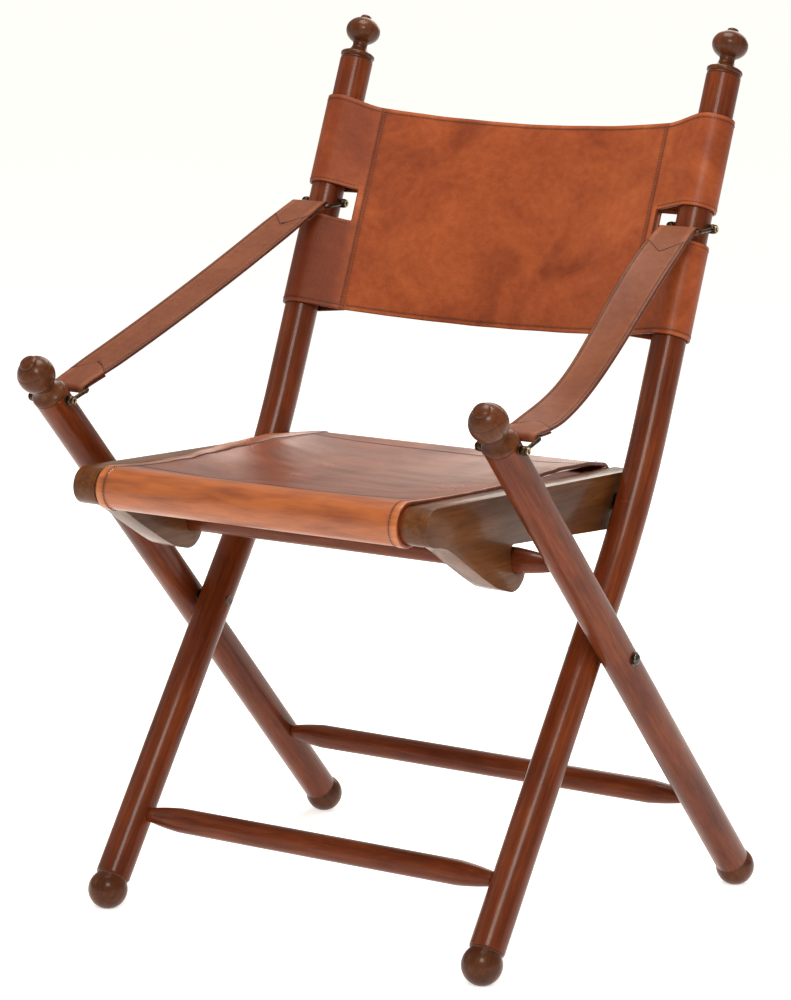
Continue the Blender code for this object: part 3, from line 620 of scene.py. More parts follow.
def leather_panel(name, grid, flat_u, flat_v, seam, rim, tone, finish, keep=None, hem=None):
    """A skin from a grid of points, given its thickness, a rounded edge and its drawn details."""
    rows, columns = grid.shape[:2]
    faces = []
    for i in range(rows - 1):
        for j in range(columns - 1):
            if keep is None or keep[i, j]:
                a = i * columns + j
                faces.append((a, a + 1, a + 1 + columns, a + columns))
    mesh = bpy.data.meshes.new(name)
    mesh.from_pydata(grid.reshape(-1, 3).tolist(), [], faces)
    flat = np.column_stack([flat_u.ravel(), flat_v.ravel()])
    mark_hide(mesh, flat, seam=seam, rim=rim, tone=tone)
    obj = put(name, mesh)
    group = obj.vertex_groups.new(name="hem")
    weights = np.zeros(rows * columns) if hem is None else hem.ravel()
    for index, weight in enumerate(weights):
        group.add([index], float(weight), "REPLACE")
    work = bmesh.new()
    work.from_mesh(mesh)
    bmesh.ops.delete(work, geom=[v for v in work.verts if not v.link_faces], context="VERTS")
    work.to_mesh(mesh)
    work.free()
    skin = obj.modifiers.new("thickness", "SOLIDIFY")
    skin.thickness = HEM_THICK
    skin.offset = 0.0
    skin.vertex_group = "hem"
    skin.thickness_vertex_group = LEATHER / HEM_THICK
    skin.use_even_offset = False
    edge_round = obj.modifiers.new("rounded_edge", "BEVEL")
    edge_round.width = 0.0009
    edge_round.segments = 2
    edge_round.limit_method = "ANGLE"
    edge_round.angle_limit = math.radians(60)
    mesh.materials.append(finish)
    settle(obj)
    obj.data.shade_smooth()
    return obj


def leather_finish(name, dark, middle, light, streaks, crease, gloss, sheen):
    """Waxed hide: mottled dye, fine pebble, creases across, dark sewn lines and rubbed hems."""
    made, tree, shader = bare_finish(name)
    hide = add(tree, "ShaderNodeUVMap", uv_map="hide").outputs["UV"]
    # Dye mottles 90 mm across, with a finer 9 mm cloud over them.
    cloud = add(tree, "ShaderNodeTexNoise", {
        "Vector": hide, "Scale": 11.0, "Detail": 5.0, "Roughness": 0.55, "Distortion": 0.9})
    dyed = add(tree, "ShaderNodeValToRGB", {"Fac": cloud.outputs["Fac"]}, stops=[
        (0.32, dark), (0.68, light), (0.50, middle)])
    small = add(tree, "ShaderNodeTexNoise", {
        "Vector": hide, "Scale": 110.0, "Detail": 4.0, "Roughness": 0.65})
    fleck = add(tree, "ShaderNodeValToRGB", {"Fac": small.outputs["Fac"]}, stops=[
        (0.36, "#d8c8bc"), (0.62, "#ffffff")])
    mottled = add(tree, "ShaderNodeMix", {
        0: 0.5, 6: dyed.outputs["Color"], 7: fleck.outputs["Color"]},
        data_type="RGBA", blend_type="MULTIPLY")
    # The tone mark turns the colour to a second pair, in streaks 11 mm apart: changed dye where the hide
    # is pulled tight, painted light on the seat's right hem, and partly dye, partly painted shade on the
    # back's left sleeves.
    tone = add(tree, "ShaderNodeAttribute", attribute_name="tone").outputs["Fac"]
    streak_map = add(tree, "ShaderNodeMapping", {
        "Vector": hide, "Scale": (0.16, 1.0, 1.0)}).outputs[0]
    streak = add(tree, "ShaderNodeTexNoise", {
        "Vector": streak_map, "Scale": 90.0, "Detail": 4.0, "Roughness": 0.6})
    band = add(tree, "ShaderNodeValToRGB", {"Fac": streak.outputs["Fac"]}, stops=[
        (0.22, streaks[0]), (0.60, streaks[1])])
    toned = add(tree, "ShaderNodeMix", {
        0: tone, 6: mottled.outputs[2], 7: band.outputs["Color"]}, data_type="RGBA")
    # Sewn lines are pressed in and dark for 2 mm each side. The hem is rubbed lighter as far as
    # its stitching, 5 mm in, and its cut edge is dark.
    seam = add(tree, "ShaderNodeAttribute", attribute_name="seam").outputs["Fac"]
    pressed = add(tree, "ShaderNodeMapRange", {
        "Value": seam, "From Min": 0.0004, "From Max": 0.0026, "To Min": 0.62, "To Max": 1.0},
        interpolation_type="SMOOTHSTEP")
    rim = add(tree, "ShaderNodeAttribute", attribute_name="rim").outputs["Fac"]
    inward = add(tree, "ShaderNodeMath", {0: rim, 1: 100.0}, operation="MULTIPLY")
    burnish = add(tree, "ShaderNodeValToRGB", {"Fac": inward.outputs[0]}, stops=[
        (0.0, "#a98a78"), (0.75, "#e6dcd8"), (0.12, "#ffffff"), (0.46, "#ffffff")])
    edged = add(tree, "ShaderNodeMix", {
        0: 1.0, 6: toned.outputs[2], 7: burnish.outputs["Color"]},
        data_type="RGBA", blend_type="MULTIPLY")
    colour = add(tree, "ShaderNodeVectorMath", {
        0: edged.outputs[2], "Scale": pressed.outputs["Result"]}, operation="SCALE")
    tree.links.new(colour.outputs["Vector"], shader.inputs["Base Color"])
    # The pebble is 1.1 mm across; creases run with the panel's width, 3 mm apart.
    pebble = add(tree, "ShaderNodeTexVoronoi", {
        "Vector": hide, "Scale": 900.0, "Smoothness": 0.6}, feature="SMOOTH_F1")
    fold_map = add(tree, "ShaderNodeMapping", {
        "Vector": hide, "Scale": (0.10, 1.0, 1.0)}).outputs[0]
    folds = add(tree, "ShaderNodeTexNoise", {
        "Vector": fold_map, "Scale": 330.0, "Detail": 4.0, "Roughness": 0.6, "Distortion": 0.3})
    height = add(tree, "ShaderNodeMath", {
        0: folds.outputs["Fac"], 1: crease, 2: pebble.outputs["Distance"]},
        operation="MULTIPLY_ADD")
    worn = add(tree, "ShaderNodeMath", {
        0: small.outputs["Fac"], 1: 0.8, 2: height.outputs[0]}, operation="MULTIPLY_ADD")
    bump = add(tree, "ShaderNodeBump", {
        "Height": worn.outputs[0], "Strength": 0.30, "Distance": 0.0005})
    tree.links.new(bump.outputs["Normal"], shader.inputs["Normal"])
    rough = add(tree, "ShaderNodeMapRange", {
        "Value": cloud.outputs["Fac"], "From Min": 0.3, "From Max": 0.7,
        "To Min": gloss + 0.08, "To Max": gloss - 0.06})
    tree.links.new(rough.outputs["Result"], shader.inputs["Roughness"])
    shader.inputs["Specular IOR Level"].default_value = sheen
    shader.inputs["Coat Weight"].default_value = 0.3 * sheen
    shader.inputs["Coat Roughness"].default_value = 0.30
    return made


# The second pair of colours, orange, is the front roll's changed dye where the hide is pulled tight, and
# the painted light on the right hem.
seat_hide = leather_finish(
    "waxed_tan_seat_hide", "#652e17", "#7b3e21", "#8d4c2d", ("#7b3e21", "#ae6431"), 3.6, 0.32, 0.42)

wrap_r = bar_r + WRAP_GAP + LEATHER / 2
rear_wrap_r = rear_bar_r + WRAP_GAP + LEATHER / 2
run_start = front_bar + Vector((0.0, wrap_r))
run_end = rear_bar + Vector((0.0, rear_wrap_r))
front_tail = front_bar + Vector((SEAT_FRONT_SEAM + 0.0030, wrap_r - LEATHER - 0.0036))
rear_tail = rear_bar + Vector((-0.0240, rear_wrap_r - LEATHER - 0.0034))
front_wrap = arc(front_bar, wrap_r, -36, -268, 60)
rear_wrap = arc(rear_bar, rear_wrap_r, 93, -136, 40)
head = paced([front_tail, *front_wrap], FINE_PACE)
run = paced([front_wrap[-1], rear_wrap[0]], PACE)
foot_run = paced([*rear_wrap, rear_tail], FINE_PACE)
path = np.vstack([head, run[1:], foot_run[1:]])
share = np.concatenate([np.zeros(len(head)), np.linspace(0, 1, len(run))[1:],
                        np.ones(len(foot_run) - 1)])
reach = np.concatenate([[0], np.cumsum(np.linalg.norm(np.diff(path, axis=0), axis=1))])
seat_columns = columns_between(seat_half, [seat_half - SEAT_HEM], PACE)
u = seat_columns / seat_half
bow = (4 * share * (1 - share))[:, None]
# How far each hem stands in or out, and up, on its way from the front bar to the rear one.
ways = [0.0, 0.12, 0.3, 0.5, 0.75, 0.92, 1.0]
left_out = np.interp(share, ways, [0, -0.0035, -0.0040, -0.0010, 0.0010, 0.0006, 0])
right_out = np.interp(share, ways, [0, 0.0008, 0.0018, 0.0022, 0.0022, 0.0010, 0])
left_up = np.interp(share, ways, [0, -0.0022, -0.0015, 0.0030, 0.0060, 0.0020, 0])
right_up = np.interp(share, ways, [0, -0.0014, -0.0020, -0.0012, 0.0050, 0.0042, 0])
seat_grid = np.zeros((len(path), len(u), 3))
on_right = (u > 0)[None, :]
outward = np.where(on_right, right_out[:, None], -left_out[:, None]) * np.abs(u)[None, :] ** 2
seat_grid[:, :, 0] = seat_columns[None, :] + outward
seat_grid[:, :, 1] = path[:, 0][:, None]
belly = 1 - np.abs(u[None, :]) ** 3.0
upward = np.where(on_right, right_up[:, None], left_up[:, None]) * np.abs(u)[None, :] ** 8
wrinkle = np.random.default_rng(11)
ripple = np.zeros_like(seat_grid[:, :, 2])
for k in range(9):
    length = wrinkle.uniform(0.018, 0.060)
    skew = wrinkle.uniform(-0.35, 0.35)
    phase = wrinkle.uniform(0, 6.28)
    size = wrinkle.uniform(0.3, 1.0)
    ripple += size * np.sin(FULL_TURN * (seat_grid[:, :, 1] + skew * seat_grid[:, :, 0]) / length + phase)
seat_grid[:, :, 2] = (path[:, 1][:, None] - SEAT_SAG * bow * belly + upward
                 + 0.00016 * ripple * bow)
from_front = (path[:, 0] - run_start.x)[:, None] * np.ones_like(u)[None, :]
top_row = ((share > 0) & (share < 1)).astype(float)[:, None]
hem_seam = np.abs(seat_half - SEAT_HEM - np.abs(seat_columns))[None, :] * np.ones_like(from_front)
cross_seam = np.abs(from_front - SEAT_FRONT_SEAM) + (1 - top_row)
rear_seam = np.abs(path[:, 0] - rear_bar.x + SEAT_REAR_SEAM)[:, None] + (1 - top_row)
seam = np.minimum(np.minimum(hem_seam, cross_seam), rear_seam)
seat_grid[:, :, 2] -= 0.0005 * np.clip(1 - hem_seam / 0.002, 0, 1) * top_row
rim = (seat_half - np.abs(seat_columns))[None, :] * np.ones_like(seam)
tone_rows = np.clip(1.0 - np.clip(from_front / 0.020, 0, 1), 0, 1) * (share < 0.5)[:, None]
hem = (np.abs(seat_columns) > seat_half - SEAT_HEM - 0.0005)[None, :] * np.ones_like(seam)
# Both hems take a little of the orange tone, and the right one much more: painted light where the lamp
# falls on its outer face.
hem_tone_and_painted_light = np.where(seat_columns > 0, 0.65, 0.15)[None, :] * hem
tone_rows = np.maximum(tone_rows, hem_tone_and_painted_light)
flat_v = reach[:, None] * np.ones_like(seam)
flat_u = seat_columns[None, :] * np.ones_like(seam)
seat_leather = leather_panel(
    "waxed_seat_leather", seat_grid, flat_u, flat_v, seam, rim, tone_rows, seat_hide, hem=hem)
stand_for(seat_leather, "seat", "tan_leather", "seat_leather")


# ---------------------------------------------------------------- back sling
# The back is one panel of the same hide. Each end goes round its pole and is sewn down behind
# with two rows, and a window is cut in the loop so that the arm strap can reach the pole.
SLING_SEAM = 0.050
SLING_SAG = 0.024
SLING_STEP = 0.0075
SLING_SCOOP = 0.0012
SLING_DROOP = -0.0010
SLING_HEM = 0.0050
WINDOW_REACH = 0.042
WINDOW_HALF = 0.018
SECOND_ROW = 0.0055
SLING_BOTTOM_Z = 0.592
SLING_TOP_Z = 0.811


def on_upper(height):
    """The point of the upper pole's centre line at a height."""
    return back_pin + UPPER * ((height - back_pin.y) / UPPER.y)


# The second pair of colours, dark brown, paints the left sleeves darker: partly dye, partly painted
# shade.
panel_hide = leather_finish(
    "waxed_tan_back_hide", "#7f3b1c", "#974c27", "#a75930", ("#6b2f15", "#602812"), 0.9, 0.42, 0.18)
sling_low = on_upper(SLING_BOTTOM_Z)
sling_high = on_upper(SLING_TOP_Z)
sling_middle = sling_low.lerp(sling_high, 0.5)
sling_half = (sling_high - sling_low).length / 2
pin_height = (back_pin - sling_middle).length * (1 if back_pin.y > sling_middle.y else -1)
ring_r = POLE_R + WRAP_GAP + LEATHER / 2
tangent = math.degrees(math.acos(ring_r / SLING_SEAM))
pole_plan = Vector((-BACK_X, 0.0))
seam_plan = pole_plan + Vector((SLING_SEAM, -0.0010))
loop = arc(pole_plan, ring_r, tangent, 360 - tangent, 70)
tail_plan = seam_plan + Vector((0.004, LEATHER + 0.0008))
window_x = -BACK_X + WINDOW_REACH


def cut_at(a, b, x):
    """The point of a straight stretch at x."""
    return a.lerp(b, (x - a.x) / (b.x - a.x))


back_cut = cut_at(tail_plan, loop[0], window_x)
front_cut = cut_at(loop[-1], seam_plan, window_x)
tail_run = paced([tail_plan, back_cut], FINE_PACE)
loop_run = paced([back_cut, *loop, front_cut], 0.0026)
seam_run = paced([front_cut, seam_plan], 0.0020)
inner = -seam_plan.x
panel_line = []
for i in range(81):
    x = -inner * (1 - i / 80)
    panel_line.append(Vector((x, seam_plan.y + SLING_SAG * (1 - (x / inner) ** 2))))
panel_run = paced(panel_line, PACE)
half_plan = np.vstack([tail_run, loop_run[1:], seam_run[1:], panel_run[1:]])
in_window = np.concatenate([
    np.zeros(len(tail_run) - 1, bool), np.ones(len(loop_run) - 1, bool),
    np.zeros(len(seam_run) - 1 + len(panel_run) - 1, bool)])
mirrored = half_plan[::-1][1:] * np.array([-1, 1])
plan = np.vstack([half_plan, mirrored])
window_cells = np.concatenate([in_window, in_window[::-1]])
plan_reach = np.concatenate([[0], np.cumsum(np.linalg.norm(np.diff(plan, axis=0), axis=1))])
sleeve_rows = len(tail_run) + len(loop_run) + len(seam_run) - 3
panel_part = np.zeros(len(plan), bool)
panel_part[sleeve_rows:-sleeve_rows] = True
scoop = np.where(panel_part, np.clip(1 - (plan[:, 0] / inner) ** 2, 0, 1), 0.0)
hem_line = sling_half - SLING_HEM
edges = [-sling_half, -hem_line - 0.001, -hem_line, -hem_line + 0.001,
         pin_height - WINDOW_HALF, pin_height + WINDOW_HALF,
         hem_line - 0.001, hem_line, hem_line + 0.001, sling_half]
levels = []
for a, b in zip(edges, edges[1:]):
    count = max(1, int(round((b - a) / PACE)))
    levels += [a + (b - a) * i / count for i in range(count)]
levels = np.array(levels + [sling_half])
lift = (levels + sling_half) / (2 * sling_half)
# The sleeves stand a little above the panel, so the top edge steps down from pole to seam.
step_down = np.clip((BACK_X - np.abs(plan[:, 0])) / SLING_SEAM, 0, 1)
step_down = SLING_STEP * step_down ** 2 * (3 - 2 * step_down) + SLING_SCOOP * scoop
tall = (levels[None, :] - step_down[:, None] * lift[None, :] ** 1.5
        - SLING_DROOP * scoop[:, None] * (1 - lift[None, :]) ** 1.5)
crumple = np.random.default_rng(23)
depth = plan[:, 1][:, None] * np.ones_like(tall)
for k in range(10):
    length = crumple.uniform(0.05, 0.16)
    skew = crumple.uniform(-1.2, 1.2)
    phase = crumple.uniform(0, 6.28)
    depth += (0.0004 * panel_part[:, None] * scoop[:, None] * crumple.uniform(0.3, 1.0)
              * np.sin(FULL_TURN * (plan[:, 0][:, None] + skew * levels[None, :]) / length + phase))
# The hem edges, cut from one hide, curl back a little.
depth += 0.0030 * scoop[:, None] * (np.clip(lift - 0.86, 0, 1)[None, :] / 0.14) ** 2
depth += 0.0025 * scoop[:, None] * (np.clip(0.12 - lift, 0, 1)[None, :] / 0.12) ** 2
lean = Matrix.Translation(at(0, sling_middle)) @ Matrix.Rotation(-UPPER_LEAN, 4, "X")
lean_array = np.array(lean)
flat_points = np.stack([plan[:, 0][:, None] * np.ones_like(tall), depth, tall], axis=-1)
back_grid = flat_points @ lean_array[:3, :3].T + lean_array[:3, 3]
out_from_middle = np.abs(plan[:, 0])
row_seam = np.minimum(np.abs(out_from_middle - inner), np.abs(out_from_middle - inner + SECOND_ROW))
row_seam = np.where(out_from_middle < -window_x, row_seam, 1.0)
level_seam = np.abs(np.abs(levels) - hem_line)
seam = np.minimum(row_seam[:, None], level_seam[None, :])
rim = np.minimum(sling_half - levels, levels + sling_half)[None, :] * np.ones_like(seam)
edge_of_window = plan_reach[np.where(in_window)[0][[0, -1]] + np.array([0, 1])]
from_ends = np.minimum(plan_reach, plan_reach[-1] - plan_reach)
past_window = np.clip(np.abs(from_ends - edge_of_window.mean())
                      - (edge_of_window[1] - edge_of_window[0]) / 2, 0, None)
past_level = np.clip(np.abs(levels - pin_height) - WINDOW_HALF, 0, None)
from_window = np.hypot(past_window[:, None], past_level[None, :])
beside = past_window[:, None] * np.ones_like(seam) > 1e-6
rim = np.minimum(rim, from_window)
seam = np.minimum(seam, np.where(beside, 1.0, np.abs(from_window - SLING_HEM)))
keep = np.ones((len(plan) - 1, len(levels) - 1), bool)
middle_levels = (levels[:-1] + levels[1:]) / 2
keep[np.ix_(window_cells, np.abs(middle_levels - pin_height) < WINDOW_HALF)] = False
# The left sleeves are painted darker, the lower one most: partly a darker dye, partly painted shade where
# they turn away from the light.
left_dye_and_painted_shade = np.clip((-inner - plan[:, 0]) / 0.012, 0, 1)[:, None]
tone = left_dye_and_painted_shade * np.where(levels > pin_height, 0.35, 0.75)[None, :]
back_leather = leather_panel(
    "waxed_back_leather", back_grid, plan_reach[:, None] * np.ones_like(seam),
    levels[None, :] * np.ones_like(seam), seam, rim, tone, panel_hide, keep=keep)
stand_for(back_leather, "back_frame", "tan_leather", "back_leather")


# ---------------------------------------------------------------- pivot bolts and plugs
# Each pair of poles turns on a domed steel bolt, with washers, in a round nut let into the inner
# pole. Each rail turns on a bolt that screws into a barrel nut in the pole. That nut's hole is
# closed by a plug of redder wood.
BOLT_R = 0.0030
BOLT_HOLE_R = 0.00312
BOLT_DOME = 0.0038
PLUG_LONG = 0.0048
PLUG_PROUD = 0.0002


def metal_finish(name, colour, worn, rough, scale):
    """Darkened metal rubbed bright in places, with a brushed, pitted skin."""
    made, tree, shader = bare_finish(name)
    place = add(tree, "ShaderNodeTexCoord").outputs["Object"]
    rub = add(tree, "ShaderNodeTexNoise", {
        "Vector": place, "Scale": scale, "Detail": 4.0, "Roughness": 0.6})
    tint = add(tree, "ShaderNodeValToRGB", {"Fac": rub.outputs["Fac"]}, stops=[
        (0.38, colour), (0.72, worn)])
    tree.links.new(tint.outputs["Color"], shader.inputs["Base Color"])
    dull = add(tree, "ShaderNodeMapRange", {
        "Value": rub.outputs["Fac"], "From Min": 0.3, "From Max": 0.7,
        "To Min": rough + 0.12, "To Max": rough - 0.08})
    tree.links.new(dull.outputs["Result"], shader.inputs["Roughness"])
    pits = add(tree, "ShaderNodeTexNoise", {
        "Vector": place, "Scale": 1800.0, "Detail": 2.0, "Roughness": 0.5})
    bump = add(tree, "ShaderNodeBump", {
        "Height": pits.outputs["Fac"], "Strength": 0.18, "Distance": 0.0002})
    tree.links.new(bump.outputs["Normal"], shader.inputs["Normal"])
    shader.inputs["Metallic"].default_value = 1.0
    return made


dark_steel = metal_finish("blackened_steel", "#2b2927", "#6e6862", 0.34, 260.0)
dark_bronze = metal_finish("antique_bronze", "#33271d", "#5d4a38", 0.40, 320.0)
rubbed_brass = metal_finish("rubbed_brass_rivet", "#8d7a5c", "#d9cba9", 0.30, 420.0)
plug_wood = wood_finish("red_stained_plug", "#5e220f", "#8a3b1c", "#a04c28", 0.36)


def washer(name, node, finish, body, finish_slot):
    """A stamped washer with softened edges, in the place of a node that lies across X."""
    low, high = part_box(node)
    middle = (low + high) / 2
    radius = (high.z - low.z) / 2
    half = (high.x - low.x) / 2
    soft = 0.35 * half
    hole = 0.42 * radius
    section = [(hole, -half), (radius - soft, -half), (radius, -half + soft),
               (radius, half - soft), (radius - soft, half), (hole, half)]
    ring = straight(name, section, middle, ALONG_X, finish, 36, closed=True)
    return stand_for(ring, body, finish_slot, node)


for side, sign in SIDES.items():
    outward = ALONG_X * sign
    for node, body in ((f"{side}_scissor_bolt", "arm_frame"), (f"{side}_seat_bolt", "back_frame")):
        low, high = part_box(node)
        middle = (low + high) / 2
        way = outward if node.endswith("scissor_bolt") else -outward
        head_r = (high.z - low.z) / 2
        length = (high.x - low.x) / 2
        shank_end = middle - way * length
        under_head = 2 * length - BOLT_DOME
        profile = [(0.0, 0.0), (BOLT_R - 0.0004, 0.0), (BOLT_R, 0.0004), (BOLT_R, under_head)]
        profile += [(head_r - 0.0003, under_head), (head_r, under_head + 0.0006)]
        for i in range(1, 9):
            turn = math.radians(10 * i + 2)
            profile.append((head_r * math.cos(turn) * 0.99,
                            under_head + 0.0006 + (BOLT_DOME - 0.0006) * math.sin(turn)))
        profile.append((0.0, 2 * length))
        bolt = straight(f"domed_{node}", profile, shank_end, way, dark_steel, 40)
        stand_for(bolt, body, "dark_steel", node)
    washer(f"steel_{side}_scissor_washer", f"{side}_scissor_washer", dark_steel, "arm_frame",
           "dark_steel")
    for node in (f"{side}_scissor_spacer", f"{side}_seat_bolt_washer", f"{side}_seat_spacer"):
        washer(f"steel_{node}", node, dark_steel, "back_frame", "dark_steel")
    # The nut is a round sleeve let into the pole, flush, with a softened rim and the bolt's hole.
    low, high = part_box(f"{side}_scissor_nut")
    half = (high.x - low.x) / 2
    wide = (high.z - low.z) / 2
    section = [(BOLT_HOLE_R, -half), (wide - 0.0005, -half), (wide, -half + 0.0005), (wide, half),
               (BOLT_HOLE_R, half)]
    nut = straight(f"flush_{side}_scissor_nut", section, (low + high) / 2, outward,
                   dark_steel, 40, closed=True)
    stand_for(nut, "back_frame", "dark_steel", f"{side}_scissor_nut")
    hidden = frame["nodes"][f"{side}_barrel_nut"]
    hidden.data.materials.clear()
    hidden.data.materials.append(dark_steel)
    # The plug is pared down to the pole's own roundness and stands 0.2 mm proud of it.
    low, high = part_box(f"{side}_pole_plug")
    plug_r = (high.z - low.z) / 2
    profile = [(0.0, 0.0), (plug_r, 0.0)]
    profile += [(plug_r * (1 - 0.04 * i), PLUG_LONG) for i in range(3)]
    profile += [(plug_r * k / 6, PLUG_LONG) for k in (5, 4, 3, 2, 1, 0)]
    start = Vector(((low.x + high.x) / 2, seat_pivot.x - POLE_R + 0.0050, (low.z + high.z) / 2))
    plug = straight(f"pared_{side}_pole_plug", profile, start, Vector((0, -1, 0)), plug_wood, 36)
    for vertex in plug.data.vertices:
        if vertex.co.y < start.y - 0.004:
            across = vertex.co.x - start.x
            vertex.co.y = seat_pivot.x - math.sqrt((POLE_R + PLUG_PROUD) ** 2 - across ** 2)
    stand_for(plug, "back_frame", "plug_wood", f"{side}_pole_plug")


# ---------------------------------------------------------------- strap pins and bails
# A hollow bronze rivet goes through each pole. On it swings a bail, bent from wire 4.4 mm thick
# with an eye at each end, and the arm strap hangs on the bail's bar.
BAIL_WIRE_R = 0.0022
BAIL_REACH = 0.030
BAIL_HALF = 0.0237
BAIL_BEND_R = 0.0045
BACK_BAIL_TILT = math.radians(182)
ARM_BAIL_TILT = math.radians(16)


def bent_wire(name, points, side, radius, finish, segments=16):
    """A round wire along points that lie in a plane, given the way the plane faces."""
    rings = []
    for i, point in enumerate(points):
        along = (points[min(i + 1, len(points) - 1)] - points[max(i - 1, 0)]).normalized()
        other = along.cross(side).normalized()
        rings.append((point, side, other, radius, 0.0))
    first, last = rings[0], rings[-1]
    rings = [(first[0], *first[1:3], 0.0, 0.0), *rings, (last[0], *last[1:3], 0.0, 0.0)]
    return turned(name, rings, finish, segments)


for side, sign in SIDES.items():
    for end, x, point, tilt, body in (
        ("back", sign * BACK_X, back_pin, BACK_BAIL_TILT, "back_frame"),
        ("arm", sign * ARM_X, arm_pin, ARM_BAIL_TILT, "arm_frame"),
    ):
        node = f"{side}_{end}_pin"
        tip = (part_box(node)[1].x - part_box(node)[0].x) / 2
        head = [(0.0, tip - 0.0016), (0.0016, tip - 0.0016), (0.0019, tip - 0.0010)]
        head += [(0.0022, tip - 0.0002), (0.0027, tip), (0.0034, tip - 0.0002)]
        head += [(0.0044, tip - 0.0010), (0.0046, tip - 0.0019), (0.0025, tip - 0.0022)]
        profile = [(r, -h) for r, h in head] + [(r, h) for r, h in reversed(head)]
        rivet = straight(f"hollow_{node}", profile, at(x, point), ALONG_X,
                         dark_bronze, 32)
        stand_for(rivet, body, "dark_bronze", node)
        for across in (-1, 1):
            ring = [(0.0020, tip - 0.0006), (0.0024, tip + 0.00005), (0.0030, tip + 0.00020),
                    (0.0036, tip), (0.0037, tip - 0.0006)]
            eye = straight(f"bright_{node}_{'left' if across < 0 else 'right'}_rim", ring,
                           at(x, point), ALONG_X * across, rubbed_brass, 32, closed=True)
            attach(eye, body)
        for place in ("inner", "outer"):
            washer(f"bronze_{node}_{place}_washer", f"{node}_{place}_washer", dark_bronze, body,
                   "dark_bronze")
        out = Vector((math.cos(tilt), math.sin(tilt)))
        bar_normal = Vector((0, -out.y, out.x))
        way = [(-BAIL_HALF, 0.0), (-BAIL_HALF, BAIL_REACH - BAIL_BEND_R)]
        for a in [math.radians(15 * k) for k in range(1, 6)]:
            way.append((-BAIL_HALF + BAIL_BEND_R * (1 - math.cos(a)),
                        BAIL_REACH - BAIL_BEND_R * (1 - math.sin(a))))
        way += [(-BAIL_HALF + BAIL_BEND_R, BAIL_REACH)]
        way += [(-x_way, reach_way) for x_way, reach_way in reversed(way)]
        points = [at(x + x_way, point + out * reach_way) for x_way, reach_way in way]
        wire = bent_wire(f"bent_{side}_{end}_bail", points, bar_normal, BAIL_WIRE_R,
                         dark_bronze)
        parts = [wire]
        for across in (-1, 1):
            section = [(0.0027, -0.0022), (0.0044, -0.0022), (0.0050, -0.0014),
                       (0.0050, 0.0014), (0.0044, 0.0022), (0.0027, 0.0022)]
            parts.append(straight("eye", section, at(x + across * BAIL_HALF, point),
                                  ALONG_X, dark_bronze, 28, closed=True))
        with bpy.context.temp_override(active_object=wire, selected_editable_objects=parts,
                                       selected_objects=parts):
            bpy.ops.object.join()
        stand_for(wire, f"{side}_{end}_bail", "dark_bronze", f"{side}_{end}_bail")


# ---------------------------------------------------------------- arm straps
# Each strap is two plies of hide glued and sewn along both edges. Its ends loop over the bails
# and are sewn down in a point. The left strap is nearly taut and the right one hangs slack.
STRAP_THICK = 0.0034
STRAP_END_HALF = 0.0206
STRAP_HALF = 0.0232
STRAP_SAG = {"left": 0.006, "right": 0.024}
SLACK_BIAS = {"left": 1.0, "right": 2.2}
STRAP_TURN = {"left": 0.0, "right": 0.0050}
POINT_SHORT = 0.029
POINT_LONG = 0.050
STRAP_STITCH_IN = 0.0028
STRAP_EDGE_R = 0.0011
LOOP_CLEAR = 0.0017
TAIL_GAP = 0.0030
TAIL_ROWS = 14
BEND_ROWS = 14
TOP_ROWS = 19
THINNED_ROWS = 10
TAIL_THICK = 0.0018
BEND_THICK = 0.0020
strap_hide = leather_finish(
    "oiled_strap_hide", "#744129", "#7d492f", "#865136", ("#7d492f", "#865136"), 0.4, 0.46, 0.20)
strap_rows = []


def grid_ways(points):
    """The way the face looks at each point of a grid."""
    ways = np.cross(np.gradient(points, axis=0), np.gradient(points, axis=1))
    return ways / np.linalg.norm(ways, axis=2, keepdims=True)


def leather_strip(name, grid, flat_u, flat_v, seam, rim, thickness, finish):
    """A closed strip of hide with its edges rounded, from a grid of middle points."""
    normal = grid_ways(grid)
    rows, columns = grid.shape[:2]
    across = (grid[:, -1] - grid[:, 0])
    across /= np.linalg.norm(across, axis=1, keepdims=True)
    edge_turns = [(0.5, 0.87), (0.87, 0.5), (1.0, 0.0), (0.87, -0.5), (0.5, -0.87)]
    ring = [(j, 0.0, 1.0) for j in range(columns)]
    ring += [(columns - 1, out, up) for out, up in edge_turns]
    ring += [(j, 0.0, -1.0) for j in reversed(range(columns))]
    ring += [(0, -out, up) for out, up in reversed(edge_turns)]
    count = len(ring)
    verts, uvs, seams, rims = [], [], [], []
    for i in range(rows):
        for j, out, up in ring:
            half = 0.5 * thickness[i]
            verts.append(grid[i, j] + normal[i, j] * half * up + across[i] * STRAP_EDGE_R * out)
            uvs.append((flat_u[i, j], flat_v[i, j]))
            seams.append(seam[i, j])
            rims.append(rim[i, j])
    faces = []
    for i in range(rows - 1):
        for k in range(count):
            m = (k + 1) % count
            a, b = i * count, (i + 1) * count
            faces.append((a + k, b + k, b + m, a + m))
    faces.append(tuple(range(count)))
    faces.append(tuple(reversed(range((rows - 1) * count, rows * count))))
    mesh = bpy.data.meshes.new(name)
    mesh.from_pydata([tuple(v) for v in verts], [], faces)
    mark_hide(mesh, uvs, seam=seams, rim=rims, tone=[0.0] * len(rims))
    work = bmesh.new()
    work.from_mesh(mesh)
    bmesh.ops.recalc_face_normals(work, faces=work.faces)
    work.to_mesh(mesh)
    work.free()
    mesh.shade_smooth()
    mesh.set_sharp_from_angle(angle=math.radians(48))
    mesh.materials.append(finish)
    return put(name, mesh)


